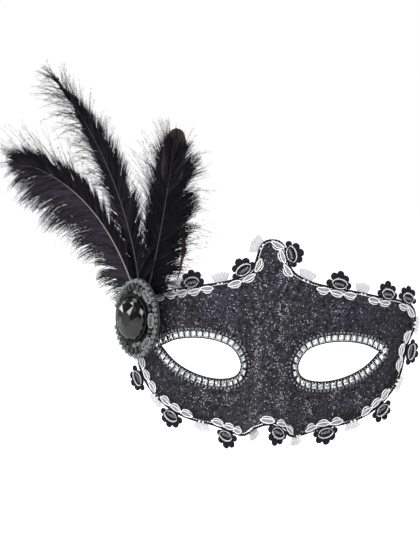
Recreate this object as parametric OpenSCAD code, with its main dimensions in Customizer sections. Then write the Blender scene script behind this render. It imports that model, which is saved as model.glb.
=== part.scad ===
// Venetian half mask: a thin moulded shell under glitter lace, edged with flower braid,
// with set stones round the eyes and a jewel that holds three feathers on one temple.
// The front faces -Y, the left temple of the mask as it is seen from the front is at -X.
// The origin is on the inner face of the nose bridge, level with the eyes.

/* [Mask outline] */
// Width of the mask from temple to temple
mask_w = 168; // [150:1:202]
// Height of the forehead peak above the eye line
peak_h = 70; // [62:1:84]
// Half width of the peak where it meets the brow
peak_foot = 15; // [12:1:18]
// Height of the top edge above the eye line, over the eyes
brow_h = 43; // [38:1:49]
// Height of the temple corners above the eye line
temple_h = 31; // [26:1:36]
// Drop of the two lobes beside the nose below the eye line
lobe_drop = 39; // [34:1:47]
// Distance of each lobe from the middle
lobe_x = 16; // [13:1:19]
// Rise of the nose arch between the lobes
arch_rise = 9.5; // [6:0.5:12]

/* [Mask depth] */
// How far the temples turn back behind the middle of the face
wrap_depth = 42; // [35:1:50]
// How far the nose stands out at its lower end
nose_depth = 32; // [26:1:38]
// How far the forehead peak leans back
peak_lean = 10; // [6:1:14]
// Thickness of the moulded shell
shell_t = 1.2; // [1:0.1:2]
// Thickness of the lace cover
lace_t = 0.4; // [0.3:0.1:0.6]

/* [Eyes] */
// Width of an eye opening, corner to corner
eye_w = 47; // [39:1:52]
// Height of an eye opening
eye_h = 23; // [19:1:26]
// Distance between the two eye openings
eye_gap = 33.5; // [30:0.5:38]
// Width of the band round an eye opening
band_w = 4.3; // [3.8:0.1:5]
// Distance between the stones on the band
stone_pitch = 4; // [3.3:0.1:4.4]
// Width of one stone
stone_d = 2.7; // [2.2:0.1:2.8]

/* [Edge braid] */
// Thickness of the cord round the edge
cord_d = 1.8; // [1.4:0.1:2.2]
// Length of a flower's knitted middle
flower_w = 9; // [7:0.5:10]
// Height of a flower's knitted middle
flower_h = 5.2; // [4.5:0.1:6]
// Width of one knitted petal
picot_d = 4; // [3.4:0.1:4.4]
// Length of one gimp leaf
leaf_w = 6.6; // [5.5:0.1:7.2]
// Width of a tulle fan
fan_w = 11; // [8:0.5:13]
// How far a tulle fan stands out
fan_h = 6; // [4:0.5:8]

/* [Jewel] */
// Width of the jewel's backing plate
rosette_w = 32; // [29:1:38]
// Height of the jewel's backing plate
rosette_h = 47; // [42:1:50]
// Width of the stone
gem_w = 20; // [17:0.5:21]
// Height of the stone
gem_h = 26; // [23:0.5:28]
// Width of one metallic bead
bead_d = 3.1; // [2.6:0.1:3.2]
// Turn of the jewel away from the front, in degrees
jewel_turn = 33; // [28:1:38]

/* [Feathers] */
// Length of the left feather, straight from root to tip
left_len = 123; // [103:1:147]
// Length of the middle feather, straight from root to tip
middle_len = 159; // [133:1:190]
// Length of the right feather, straight from root to tip
right_len = 111; // [93:1:133]
// Thickness of a quill at its root
quill_d = 1.5; // [1.2:0.1:1.7]
// Thickness of the layer that a feather's vane fills
vane_t = 1.4; // [1:0.1:1.5]

/* [Ties] */
// Width of the hole for a tie cord in each temple
tie_d = 3; // [2.5:0.1:3.5]
// Distance of the tie hole from the temple edge
tie_inset = 4.6; // [4.4:0.1:6]

/* [Hidden] */
$fn = 32;
half_w = mask_w / 2;
glue = 0.05;

// Outline of one half, from the peak down the right side to the nose arch.
arch_z = arch_rise - lobe_drop;
half_edge_points = [
    [-0.36 * peak_foot, peak_h - 2.5],
    [0, peak_h],
    [0.36 * peak_foot, peak_h - 2.5],
    [0.62 * peak_foot, peak_h - 14],
    [peak_foot, brow_h + 7],
    [0.31 * half_w, brow_h + 2.5],
    [0.48 * half_w, brow_h - 0.5],
    [0.72 * half_w, 0.55 * brow_h + 0.45 * temple_h],
    [0.965 * half_w, temple_h + 0.5],
    [half_w, temple_h - 11],
    [0.945 * half_w, 0.25 * temple_h],
    [0.9 * half_w, -0.24 * lobe_drop],
    [0.82 * half_w, -0.52 * lobe_drop],
    [0.68 * half_w, -0.76 * lobe_drop],
    [0.535 * half_w, -0.87 * lobe_drop],
    [0.39 * half_w, -0.915 * lobe_drop],
    [lobe_x, -lobe_drop],
    [0.5 * lobe_x, arch_z - 0.35 * arch_rise],
    [0, arch_z],
    [-0.5 * lobe_x, arch_z - 0.35 * arch_rise],
];
temple_point = 9;

// Outline of an eye opening as shares of its half width and half height, from the outer
// corner over the top to the inner end and back along the bottom.
eye_shape = [
    [1.6, -0.2], [1, 0.39], [0.62, 0.79], [0.11, 0.98], [-0.4, 0.91], [-0.8, 0.57],
    [-1, -0.15], [-0.88, -0.76], [-0.45, -1], [0.11, -0.84], [0.62, -0.36], [1, 0.39],
    [1.2, 0.9],
];
eye_x = (eye_gap + eye_w) / 2;
eye_z = 1.8;

// A smooth curve through points, whose first and last only steer its ends.
function spline_at(p, i, t) =
    let (a = p[i - 1], b = p[i], c = p[i + 1], d = p[i + 2])
    (2 * b + (c - a) * t + (2 * a - 5 * b + 4 * c - d) * t * t
        + (3 * b - a - 3 * c + d) * t * t * t) / 2;
function spline(p, steps) = [
    for (i = [1 : len(p) - 3]) for (j = [0 : steps - 1]) spline_at(p, i, j / steps),
    p[len(p) - 2],
];

// Running length along a list of points, and the point at a length.
function lengths(p) = [
    for (i = 0, s = 0; i < len(p); i = i + 1, s = s + (i < len(p) ? norm(p[i] - p[i - 1]) : 0)) s,
];
function point_at(p, s_all, s) = [
    lookup(s, [for (i = [0 : len(p) - 1]) [s_all[i], p[i][0]]]),
    lookup(s, [for (i = [0 : len(p) - 1]) [s_all[i], p[i][1]]]),
];
function spread(p, from, to, n) =
    let (s_all = lengths(p), total = s_all[len(p) - 1])
    [for (i = [0 : n - 1]) point_at(p, s_all, total * (from + (to - from) * i / n))];

// Depth of the shell's front face behind the bridge of the nose, and its slopes.
wrap_power = 2.2;
nose_turn_z = -8;
nose_spread = 16;
function nose_out(z) = nose_depth / (1 + exp((z - nose_turn_z) / nose_spread));
function nose_w(z) = 13.5 - 2.5 * min(1, max(-1, z / 38));
function lean(z) = z > 0 ? peak_lean * pow(z / peak_h, 2) : 3 * pow(z / lobe_drop, 2);
function face_depth(x, z) =
    wrap_depth * pow(abs(x) / half_w, wrap_power)
    - nose_out(z) * exp(-pow(x / nose_w(z), 2))
    + 2.5 * exp(-pow((abs(x) - eye_x) / 26, 2) - pow(z / 16, 2))
    + lean(z);
slope_step = 0.5;
function slope_x(x, z) =
    (face_depth(x + slope_step, z) - face_depth(x - slope_step, z)) / (2 * slope_step);
function slope_z(x, z) =
    (face_depth(x, z + slope_step) - face_depth(x, z - slope_step)) / (2 * slope_step);
function steepness(x, z) = norm([slope_x(x, z), 1, slope_z(x, z)]);
bridge_y = -face_depth(0, 0) - shell_t * steepness(0, 0);
// A point that stands out from the shell's front face by rise.
function on_face(x, z, rise) =
    [x, face_depth(x, z) + bridge_y - rise * steepness(x, z), z];
function face_normal(x, z) = [slope_x(x, z), -1, slope_z(x, z)] / steepness(x, z);
lace_top = glue + lace_t;

// Rings of points from an eye opening out to the edge of its half of the mask.
n_top = 24;
n_mid = 12;
n_low = 24;
n_round = n_top + n_mid + n_low;
n_rings = 6;
edge_steps = 8;
half_edge = spline(half_edge_points, edge_steps);
edge_s = lengths([for (p = half_edge) on_face(p[0], p[1], lace_top)]);
edge_len = edge_s[len(half_edge) - 1];
temple_i = (temple_point - 1) * edge_steps;
up_edge = [for (i = [temple_i : -1 : 0]) half_edge[i]];
low_edge = [for (i = [len(half_edge) - 1 : -1 : temple_i]) half_edge[i]];
middle_line = [[0, peak_h], [0, arch_z]];
outer_ring = concat(
    spread(up_edge, 0, 1, n_top), spread(middle_line, 0, 1, n_mid), spread(low_edge, 0, 1, n_low));
eye_curve = [
    for (p = spline(eye_shape, 8)) [eye_x + p[0] * eye_w / 2, eye_z + p[1] * eye_h / 2],
];
eye_ring = concat(
    spread(eye_curve, 0, 0.37, n_top), spread(eye_curve, 0.37, 0.58, n_mid),
    spread(eye_curve, 0.58, 1, n_low));
// Rings near the peak swing in towards the middle, so that they stay inside its flanks.
function ring_guide(a, b) =
    (a + b) / 2 - [max(0, min(1, (b[1] - brow_h - 3) / 12)) * 0.4 * (a[0] - b[0]), 0];
function ring_point(k, j) =
    let (a = eye_ring[j], b = outer_ring[j], g = ring_guide(a, b), t = k / n_rings)
    (1 - t) * (1 - t) * a + 2 * t * (1 - t) * g + t * t * b;
function in_seam(k, j) = k == n_rings && j >= n_top && j <= n_top + n_mid;
function sheet_index(side, back, k, j) =
    let (jj = j % n_round, s = in_seam(k, jj) ? 0 : side)
    ((s * 2 + back) * (n_rings + 1) + k) * n_round + jj;
function turned(side, tri) = side == 0 ? tri : [tri[2], tri[1], tri[0]];

// A closed sheet between two heights over the shell's front face.
module face_sheet(low, high) {
    points = [
        for (side = [1, -1]) for (rise = [high, low])
            for (k = [0 : n_rings]) for (j = [0 : n_round - 1])
                let (p = ring_point(k, j)) on_face(side * p[0], p[1], rise),
    ];
    faces = [
        for (side = [0, 1]) for (k = [0 : n_rings - 1]) for (j = [0 : n_round - 1])
            for (back = [0, 1])
                let (
                    a = sheet_index(side, back, k, j),
                    b = sheet_index(side, back, k, j + 1),
                    c = sheet_index(side, back, k + 1, j + 1),
                    d = sheet_index(side, back, k + 1, j))
                for (tri = [[a, b, c], [a, c, d]]) turned((side + back) % 2, tri),
        for (side = [0, 1]) for (k = [0, n_rings]) for (j = [0 : n_round - 1])
            let (
                a = sheet_index(side, 0, k, j),
                b = sheet_index(side, 0, k, j + 1),
                c = sheet_index(side, 1, k, j + 1),
                d = sheet_index(side, 1, k, j),
                seam = k == n_rings && j >= n_top && j < n_top + n_mid)
            if (!seam)
                for (tri = [[b, a, d], [b, d, c]]) turned((side + (k == 0 ? 0 : 1)) % 2, tri),
    ];
    polyhedron(points = points, faces = faces, convexity = 6);
}

// Moves what is drawn to a place on the face: X along, Y across and Z out of the face.
module placed(origin, along, out) {
    z_dir = out / norm(out);
    y_raw = cross(z_dir, along);
    y_dir = y_raw / norm(y_raw);
    x_dir = cross(y_dir, z_dir);
    multmatrix([
        [x_dir[0], y_dir[0], z_dir[0], origin[0]],
        [x_dir[1], y_dir[1], z_dir[1], origin[1]],
        [x_dir[2], y_dir[2], z_dir[2], origin[2]],
        [0, 0, 0, 1],
    ]) children();
}

// The point on the edge at a length from the peak, moved inward over the face.
function edge_2d(s) =
    let (
        past = s < 0 || s > edge_len,
        p = point_at(half_edge, edge_s, s < 0 ? -s : s > edge_len ? 2 * edge_len - s : s))
    [past ? -p[0] : p[0], p[1]];
function edge_dir(s) =
    let (d = edge_2d(s + 0.8) - edge_2d(s - 0.8)) d / norm(d);
function edge_inward(s, inward) =
    let (p = edge_2d(s), d = edge_dir(s)) p + inward * [d[1], -d[0]];
function edge_point(s, inward, rise) =
    let (p = edge_inward(s, inward)) on_face(p[0], p[1], lace_top + rise);

// A place on the edge: s runs from the peak, positive to the right and negative to the left.
// X runs along the edge, Y out past it and Z out of the face.
module on_edge(s, inward, rise) {
    s_on = abs(s);
    p = edge_inward(s_on, inward);
    mirror([s < 0 ? 1 : 0, 0, 0])
        placed(edge_point(s_on, inward, rise),
            edge_point(s_on + 0.8, inward, rise) - edge_point(s_on - 0.8, inward, rise),
            face_normal(p[0], p[1]))
            children();
}

// A tube through points, closed on itself or tapering between two ends.
function tube_points(path, radii, across, sides) = [
    for (i = [0 : len(path) - 1]) for (k = [0 : sides - 1])
        let (
            n = len(path),
            d = path[min(n - 1, i + 1)] - path[max(0, i - 1)],
            u = cross(across, d) / norm(cross(across, d)),
            v = cross(d, u) / norm(cross(d, u)),
            turn = 360 * k / sides)
        path[i] + radii[i] * (cos(turn) * u + sin(turn) * v),
];
function tube_sides(rings, sides, closed) = [
    for (i = [0 : rings - (closed ? 1 : 2)]) for (k = [0 : sides - 1])
        let (
            i2 = (i + 1) % rings,
            a = i * sides + k,
            b = i * sides + (k + 1) % sides,
            c = i2 * sides + (k + 1) % sides,
            d = i2 * sides + k)
        for (tri = [[a, c, b], [a, d, c]]) tri,
];
module open_tube(path, radii, across, sides) {
    n = len(path);
    first_cap = [for (k = [0 : sides - 1]) k];
    last_cap = [for (k = [sides - 1 : -1 : 0]) (n - 1) * sides + k];
    polyhedron(
        points = tube_points(path, radii, across, sides),
        faces = concat(tube_sides(n, sides, false), [first_cap, last_cap]),
        convexity = 6);
}

// Flat outlines that the trims are cut from.
function oval(w, h, n) =
    [for (i = [0 : n - 1]) [w / 2 * cos(360 * i / n), h / 2 * sin(360 * i / n)]];
function leaf_outline(w, h, n) = [
    for (i = [0 : n - 1]) [w / 2 * (1 - 2 * i / n), h / 2 * sin(180 * i / n)],
    for (i = [0 : n - 1]) [w / 2 * (2 * i / n - 1), -h / 2 * sin(180 * i / n)],
];

// ---- Mask body ----

module tie_holes() {
    for (side = [1, -1])
        mirror([side < 0 ? 1 : 0, 0, 0])
            placed(on_face(tie_x, tie_z, 0), [0, 0, 1], face_normal(tie_x, tie_z))
                cylinder(d = tie_d, h = 6, center = true);
}
tie_z = temple_h - 11;
tie_x = half_w - tie_inset;

module mask_shell() {
    color("#1c1b1f")
    difference() {
        face_sheet(-shell_t, 0);
        tie_holes();
    }
}

module lace_cover() {
    color("#333138")
    difference() {
        face_sheet(glue, lace_top);
        tie_holes();
    }
}

// ---- Eye trims ----

// A point beside an eye opening: u runs round it from 0 to 1, and away leads from its edge.
eye_s = lengths(eye_curve);
eye_len = eye_s[len(eye_curve) - 1];
function eye_2d(u) = point_at(eye_curve, eye_s, u * eye_len);
function eye_away(u) =
    let (
        e = 0.012,
        a = eye_2d((u + 1 - e) % 1),
        b = eye_2d((u + e) % 1),
        d = b - a)
    [d[1], -d[0]] / norm(d);
function eye_beside(u, away) = eye_2d(u) + away * eye_away(u);
band_gap = 0.6;
band_t = 0.5;
band_rise = 0.1;
n_band = 44;
band_edges = [[0, 0], [1, 0], [1, 1], [0, 1]];
module eye_band() {
    points = [
        for (i = [0 : n_band - 1]) for (c = band_edges)
            let (p = eye_beside(i / n_band, band_gap + band_w * c[0]))
            on_face(p[0], p[1], lace_top + band_rise + band_t * c[1]),
    ];
    polyhedron(points = points, faces = tube_sides(n_band, 4, true), convexity = 6);
}
// The middle line of the band, along which the stones are spaced evenly.
n_mid_line = 96;
band_line = [
    for (i = [0 : n_mid_line]) eye_beside(i / n_mid_line % 1, band_gap + band_w / 2),
];
band_s = lengths([for (p = band_line) on_face(p[0], p[1], lace_top)]);
band_len = band_s[n_mid_line];
n_stones = round(band_len / stone_pitch);
module along_band() {
    for (i = [0 : n_stones - 1]) {
        p = point_at(band_line, band_s, i * band_len / n_stones);
        placed(on_face(p[0], p[1], lace_top + band_rise + band_t), [0, 0, 1],
            face_normal(p[0], p[1]))
            children();
    }
}
cup_wall = 0.22;
cup_h = 0.9;
cup_floor = 0.3;
cup_lift = 0.28;
cup_fit = 0.04;
module stone_cup() {
    difference() {
        translate([0, 0, cup_lift]) cylinder(d = stone_d + 2 * (cup_wall + cup_fit), h = cup_h);
        translate([0, 0, cup_lift + cup_floor]) cylinder(d = stone_d + 2 * cup_fit, h = cup_h);
    }
}
module stone() {
    translate([0, 0, cup_lift + cup_floor + 0.02])
    rotate_extrude()
        polygon([
            [0, 0],
            [0.35 * stone_d, 0],
            [stone_d / 2, 0.5],
            [stone_d / 2, 0.65],
            [0.32 * stone_d, 1.05],
            [0, 1.05],
        ]);
}
module on_side(side) {
    mirror([side < 0 ? 1 : 0, 0, 0]) children();
}
module eye_band_left() {
    color("#8d8e94") on_side(-1) eye_band();
}
module eye_band_right() {
    color("#8d8e94") on_side(1) eye_band();
}
module eye_cups_left() {
    color("silver") on_side(-1) along_band() stone_cup();
}
module eye_cups_right() {
    color("silver") on_side(1) along_band() stone_cup();
}
module eye_stones_left() {
    color("#e8ecf2") on_side(-1) along_band() stone();
}
module eye_stones_right() {
    color("#e8ecf2") on_side(1) along_band() stone();
}

// ---- Edge braid ----

// Flower places as lengths along the edge from the peak: positive to the right.
flower_share = [
    -0.86, -0.715, -0.6, -0.485, -0.325, -0.23, -0.1,
    0.046, 0.2, 0.33, 0.392, 0.523, 0.67, 0.815, 0.968,
];
flower_s = [for (f = flower_share) f * edge_len];
n_flowers = len(flower_share);
cord_drop = 0.55;
cord_gap = 0.12;
n_cord = 66;
module edge_cord() {
    color("#17161a") {
        path = [
            for (i = [0 : n_cord])
                edge_point(edge_len * i / n_cord, -cord_d / 2 - cord_gap, -cord_drop),
        ];
        loop = concat(path, [
            for (i = [n_cord - 1 : -1 : 1]) [-path[i][0], path[i][1], path[i][2]],
        ]);
        n = len(loop);
        sides = 6;
        points = [
            for (i = [0 : n - 1])
                let (
                    d = loop[(i + 1) % n] - loop[(i + n - 1) % n],
                    u = cross([0, 1, 0], d) / norm(cross([0, 1, 0], d)),
                    v = cross(d, u) / norm(cross(d, u)))
                for (k = [0 : sides - 1])
                    loop[i] + cord_d / 2 * (cos(60 * k) * u + sin(60 * k) * v),
        ];
        polyhedron(points = points, faces = tube_sides(n, sides, true), convexity = 8);
    }
}

flower_t = 1.4;
flower_rise = cord_d / 2 - cord_drop + 0.3;
flower_out = 3.4;
flower_rim = 1.1;
picots = [
    [0, flower_h / 2 + 0.75 * picot_d, 1],
    [0.43 * flower_w, flower_h / 2 + 0.3 * picot_d, 1],
    [-0.43 * flower_w, flower_h / 2 + 0.3 * picot_d, 1],
    [0.66 * flower_w, 0, 0.85],
    [-0.66 * flower_w, 0, 0.85],
];
module flower(i) {
    color("#151418")
    on_edge(flower_s[i], -flower_out, flower_rise)
        linear_extrude(height = flower_t)
            union() {
                polygon(oval(flower_w + 2 * flower_rim, flower_h + 2 * flower_rim, 24));
                for (p = picots) translate([p[0], p[1]]) circle(d = picot_d * p[2]);
            }
}
leaf_t = 1.2;
leaf_rise = 0.45;
leaf_step = 1.28 * leaf_w;
function gap_after(i) =
    (i == n_flowers - 1 ? flower_s[0] + 2 * edge_len : flower_s[i + 1]) - flower_s[i];
function room_beside(i, side) =
    gap_after(side > 0 ? i : (i + n_flowers - 1) % n_flowers) > 2 * leaf_step + leaf_w;
module leaf_loop(w, h, wall) {
    linear_extrude(height = leaf_t)
        difference() {
            polygon(leaf_outline(w, h, 10));
            polygon(leaf_outline(w - 3.2 * wall, h - 2 * wall, 10));
        }
}
module leaves(i) {
    color("#dcdde2") {
        on_edge(flower_s[i], -flower_out, flower_rise + flower_t + 0.05)
            linear_extrude(height = leaf_t)
                difference() {
                    polygon(oval(flower_w + 1.6, flower_h + 1.6, 24));
                    polygon(oval(flower_w - 1.2, flower_h - 1.2, 24));
                    translate([-flower_w, -2 * flower_h]) square([2 * flower_w, 2 * flower_h]);
                }
        on_edge(flower_s[i], 1.9, leaf_rise) leaf_loop(leaf_w, 2.4, 0.7);
        for (side = [1, -1])
            if (room_beside(i, side))
                on_edge(wrapped(flower_s[i] + side * leaf_step), 1.5, leaf_rise)
                    leaf_loop(leaf_w, 3.4, 0.7);
    }
}

// What lies between two neighbouring flowers: stitch beads on the cord and a fan behind it.
gap_s = [
    for (i = [0 : n_flowers - 1]) if (room_beside(i, 1)) flower_s[i] + gap_after(i) / 2,
];
function wrapped(s) = s > edge_len ? s - 2 * edge_len : s;
stitch_d = 1.3;
module stitch_beads() {
    color("#e9e9ee")
    for (s = gap_s) for (step = [-1.1, 1.1])
        on_edge(wrapped(s + step), -0.6, flower_rise + stitch_d / 2) sphere(d = stitch_d);
}
fan_t = 0.3;
fan_ribs = 5;
module fan_blade() {
    n = 5 * fan_ribs;
    linear_extrude(height = fan_t)
        polygon(concat(
            [[-0.28 * fan_w, 0], [0.28 * fan_w, 0]],
            [for (i = [0 : n])
                [fan_w * (0.5 - i / n), fan_h * (0.8 + 0.2 * abs(sin(180 * fan_ribs * i / n)))]]));
}
module tulle_fans() {
    color("#c9cad2", 0.6)
    for (s = gap_s)
        on_edge(wrapped(s), -0.4, -cord_drop - cord_d / 2 - 0.1 - fan_t) fan_blade();
}

// ---- Jewel on the left temple ----

// The jewel's place: X to the wearer's nose along the plate, Y up and Z out of the plate.
jewel_x = -0.857 * half_w;
jewel_z = 0.72 * temple_h;
jewel_origin = on_face(jewel_x, jewel_z, lace_top);
module at_jewel(out) {
    translate(jewel_origin)
        rotate([0, 0, -jewel_turn])
            rotate([90, 0, 0])
                translate([0, 0, out])
                    children();
}
// Feather layers between the lace and the plate, counted from the lace.
layer_first = 5.3;
layer_step = 1.9;
plate_out = layer_first + 2.5 * layer_step + 0.6;
plate_t = 1.1;
pin_up = 5;
module jewel_plate() {
    color("#1b1c1e")
    at_jewel(plate_out)
        linear_extrude(height = plate_t) polygon(oval(rosette_w, rosette_h, 48));
}
// Pad that fixes the plate to the lace, cut to the slant of the temple.
pad_x = -1;
pad_down = -9;
pad_d = 13;
module jewel_pad() {
    color("#26252a") {
        foot_x = jewel_x + pad_x * cos(jewel_turn);
        foot_z = jewel_z + pad_down;
        hull() {
            at_jewel(plate_out - 0.4)
                translate([pad_x, pad_down, 0]) cylinder(d = pad_d, h = 0.38);
            placed(on_face(foot_x, foot_z, lace_top + 0.2), [0, 0, 1], face_normal(foot_x, foot_z))
                cylinder(d = pad_d, h = 0.4);
        }
    }
}
// Rows of metallic beads on the plate, each an oval of evenly spaced beads.
// Beads that would meet the stone's cup are left out.
bead_gap = 0.06;
bead_out = plate_out + plate_t + 0.02 + bead_d / 2;
gem_x = -2.2;
cup_rim = 1;
function clear_of_cup(p) =
    pow((p[0] - gem_x) / (gem_w / 2 + cup_rim + bead_d / 2 + 0.1), 2)
    + pow(p[1] / (gem_h / 2 + cup_rim + bead_d / 2 + 0.1), 2) > 1;
module bead_row(row) {
    w = rosette_w - bead_d * (1 + 2 * row);
    h = rosette_h - bead_d * (1 + 2 * row);
    path = [for (p = oval(w, h, 90)) p, [w / 2, 0]];
    s_all = lengths(path);
    total = s_all[len(path) - 1];
    n = floor(total / (bead_d + bead_gap));
    at_jewel(bead_out)
        for (i = [0 : n - 1]) {
            p = point_at(path, s_all, total * i / n);
            if (clear_of_cup(p)) translate([p[0], p[1], 0]) sphere(d = bead_d - bead_gap);
        }
}
module beads_outer() {
    color("#5d6b66") bead_row(0);
}
module beads_middle() {
    color("#1d1f20") bead_row(1);
}
module beads_inner() {
    color("#5d6b66") bead_row(2);
}
// Gimp leaves over the beads on the side towards the nose.
jewel_leaf_turns = [-42, 0, 42];
module jewel_leaves() {
    color("#6e7c76")
    at_jewel(bead_out + bead_d / 2 + 0.05)
        for (turn = jewel_leaf_turns)
            translate([(rosette_w / 2 - bead_d) * cos(turn), (rosette_h / 2 - bead_d) * sin(turn)])
                rotate([0, 0, 90 + 0.9 * turn])
                    leaf_loop(1.2 * leaf_w, 3.6, 0.7);
}
// The stone's cup and the faceted stone.
cup_deep = 2.6;
gem_base = plate_out + plate_t + 0.02;
module jewel_cup() {
    color("#2b2e2e")
    at_jewel(gem_base) translate([gem_x, 0, 0])
        difference() {
            linear_extrude(height = cup_deep)
                polygon(oval(gem_w + 2 * cup_rim, gem_h + 2 * cup_rim, 36));
            translate([0, 0, 0.6]) linear_extrude(height = cup_deep)
                polygon(oval(gem_w + 0.1, gem_h + 0.1, 36));
        }
}
gem_levels = [[0.9, 0], [1, 1.6], [1, 2.2], [0.84, 5], [0.52, 7.2]];
gem_sides = 16;
module jewel_stone() {
    color("#08080a")
    at_jewel(gem_base + 0.65) translate([gem_x, 0, 0]) {
        n = len(gem_levels);
        points = [
            for (l = gem_levels) for (k = [0 : gem_sides - 1])
                let (turn = 360 * k / gem_sides)
                [gem_w / 2 * l[0] * cos(turn), gem_h / 2 * l[0] * sin(turn), l[1]],
        ];
        base = [for (k = [0 : gem_sides - 1]) k];
        table = [for (k = [gem_sides - 1 : -1 : 0]) (n - 1) * gem_sides + k];
        polyhedron(points = points, faces = concat(tube_sides(n, gem_sides, false), [base, table]));
    }
}

// ---- Feathers ----

// Each feather lies in its own layer and turns on the stitch that holds the quills.
module in_layer(layer) {
    at_jewel(layer_first + layer_step * layer) translate([0, pin_up, 0]) children();
}
pin_d = 1.5;
pin_foot = 0.1;
eyelet_fit = 0.2;
eyelet_d = 4;
module feather_stitch() {
    color("#3a3a3e")
    at_jewel(pin_foot) translate([0, pin_up, 0]) cylinder(d = pin_d, h = plate_out - pin_foot);
}
// A quill's curve in its layer, from the stitch to the tip.
function bend(c, t) = (1 - t) * (1 - t) * c[0] + 2 * t * (1 - t) * c[1] + t * t * c[2];
function bend_dir(c, t) =
    let (d = (1 - t) * (c[1] - c[0]) + t * (c[2] - c[1])) d / norm(d);
left_curve = left_len / 123 * [[0, 0], [-25, 69], [-92, 82]];
middle_curve = middle_len / 159 * [[0, 0], [-8.5, 80], [-75, 140]];
right_curve = right_len / 111 * [[0, 0], [15, 52], [21, 109]];
n_quill = 18;
quill_end = 0.94;
function quill_r(t) = quill_d / 2 * (1 - 0.85 * t);
module quill(c) {
    start = 0.8 * eyelet_d / 2 / norm(c[1] - c[0]) / 2;
    path = [
        for (i = [0 : n_quill])
            let (p = bend(c, start + (quill_end - start) * i / n_quill)) [p[0], p[1], 0],
    ];
    radii = [for (i = [0 : n_quill]) quill_r(quill_end * i / n_quill)];
    difference() {
        union() {
            open_tube(path, radii, [0, 0, 1], 8);
            cylinder(d = eyelet_d, h = quill_d, center = true);
        }
        cylinder(d = pin_d + 2 * eyelet_fit, h = 3 * quill_d, center = true);
    }
}
// A vane's outline: its two webs beside the quill, with widths given at even steps.
n_vane = 28;
function web_w(widths, t) =
    lookup(t, [for (i = [0 : len(widths) - 1]) [i / (len(widths) - 1), widths[i]]]);
function web_edge(c, from, widths, side, i) =
    let (t = from + (1 - from) * i / n_vane, d = bend_dir(c, t))
    bend(c, t) + side * web_w(widths, i / n_vane) * [-d[1], d[0]];
function slot_edge(c, from, side, i) =
    let (t = from + (quill_end + 0.01 - from) * i / n_vane, d = bend_dir(c, t))
    bend(c, t) + side * (quill_r(t) + 0.15) * [-d[1], d[0]];
module vane(c, from, left_w, right_w) {
    translate([0, 0, -vane_t / 2])
        linear_extrude(height = vane_t)
            difference() {
                polygon(concat(
                    [for (i = [0 : n_vane]) web_edge(c, from, left_w, 1, i)],
                    [for (i = [n_vane : -1 : 0]) web_edge(c, from, right_w, -1, i)]));
                polygon(concat(
                    [for (i = [-1 : n_vane]) slot_edge(c, from, 1, i)],
                    [for (i = [n_vane : -1 : -1]) slot_edge(c, from, -1, i)]));
            }
}
left_from = 0.26;
middle_from = 0.2;
right_from = 0.24;
module feather_left_quill() {
    color("#6d6a70") in_layer(2) quill(left_curve);
}
module feather_left_vane() {
    color("#141318") in_layer(2) vane(left_curve, left_from, [9, 18, 22, 20, 14, 6], [6, 12, 15, 16, 14, 6]);
}
module feather_middle_quill() {
    color("#2a282c") in_layer(1) quill(middle_curve);
}
module feather_middle_vane() {
    color("#121115") in_layer(1) vane(middle_curve, middle_from, [6, 10, 12, 12, 9, 2], [5, 9, 9, 7, 4, 2]);
}
module feather_right_quill() {
    color("#3b373a") in_layer(0) quill(right_curve);
}
module feather_right_vane() {
    color("#151317") in_layer(0) vane(right_curve, right_from, [6, 12, 14, 16, 12, 7], [5, 11, 14, 15, 11, 7]);
}

flower_nodes = [for (i = [1 : n_flowers]) str("flower_", i < 10 ? "0" : "", i)];
leaves_nodes = [for (i = [1 : n_flowers]) str("leaves_", i < 10 ? "0" : "", i)];

mask_shell();
lace_cover();
eye_band_left();
eye_band_right();
eye_cups_left();
eye_cups_right();
eye_stones_left();
eye_stones_right();
edge_cord();
stitch_beads();
tulle_fans();
jewel_plate();
jewel_pad();
beads_outer();
beads_middle();
beads_inner();
jewel_leaves();
jewel_cup();
jewel_stone();
feather_stitch();
feather_left_quill();
feather_left_vane();
feather_middle_quill();
feather_middle_vane();
feather_right_quill();
feather_right_vane();
for (i = [0 : n_flowers - 1]) {
    flower(i);
    leaves(i);
}
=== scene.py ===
import math

import bmesh
import bpy
import numpy as np
from mathutils import Matrix, Vector


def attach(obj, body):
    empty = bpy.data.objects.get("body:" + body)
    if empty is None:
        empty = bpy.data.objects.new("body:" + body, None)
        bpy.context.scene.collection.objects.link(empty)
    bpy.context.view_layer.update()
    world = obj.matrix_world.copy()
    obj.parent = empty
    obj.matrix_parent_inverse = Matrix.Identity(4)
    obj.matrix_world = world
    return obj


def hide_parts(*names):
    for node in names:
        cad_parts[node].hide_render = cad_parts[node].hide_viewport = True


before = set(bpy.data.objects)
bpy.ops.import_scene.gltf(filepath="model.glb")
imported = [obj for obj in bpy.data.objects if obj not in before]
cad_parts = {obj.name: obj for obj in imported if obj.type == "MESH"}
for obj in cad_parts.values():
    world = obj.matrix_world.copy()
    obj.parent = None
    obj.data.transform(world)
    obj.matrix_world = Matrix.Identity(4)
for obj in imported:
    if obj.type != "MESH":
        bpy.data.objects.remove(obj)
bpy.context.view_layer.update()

# ---- Studio: camera, lamps and floor ----
# A plain photo studio: a long lens held a little above the mask, two soft boxes in front,
# pale walls all round and a pale floor well below the mask.
MM = 0.001
view_azimuth, view_elevation, view_roll = 2.0, 6.0, 1.3
view_distance = 1200 * MM
view_height = 324.8 * MM
seat_point = Vector((0, 21.5, 0)) * MM
aim_right, aim_up = -35.7 * MM, 46.9 * MM

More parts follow.
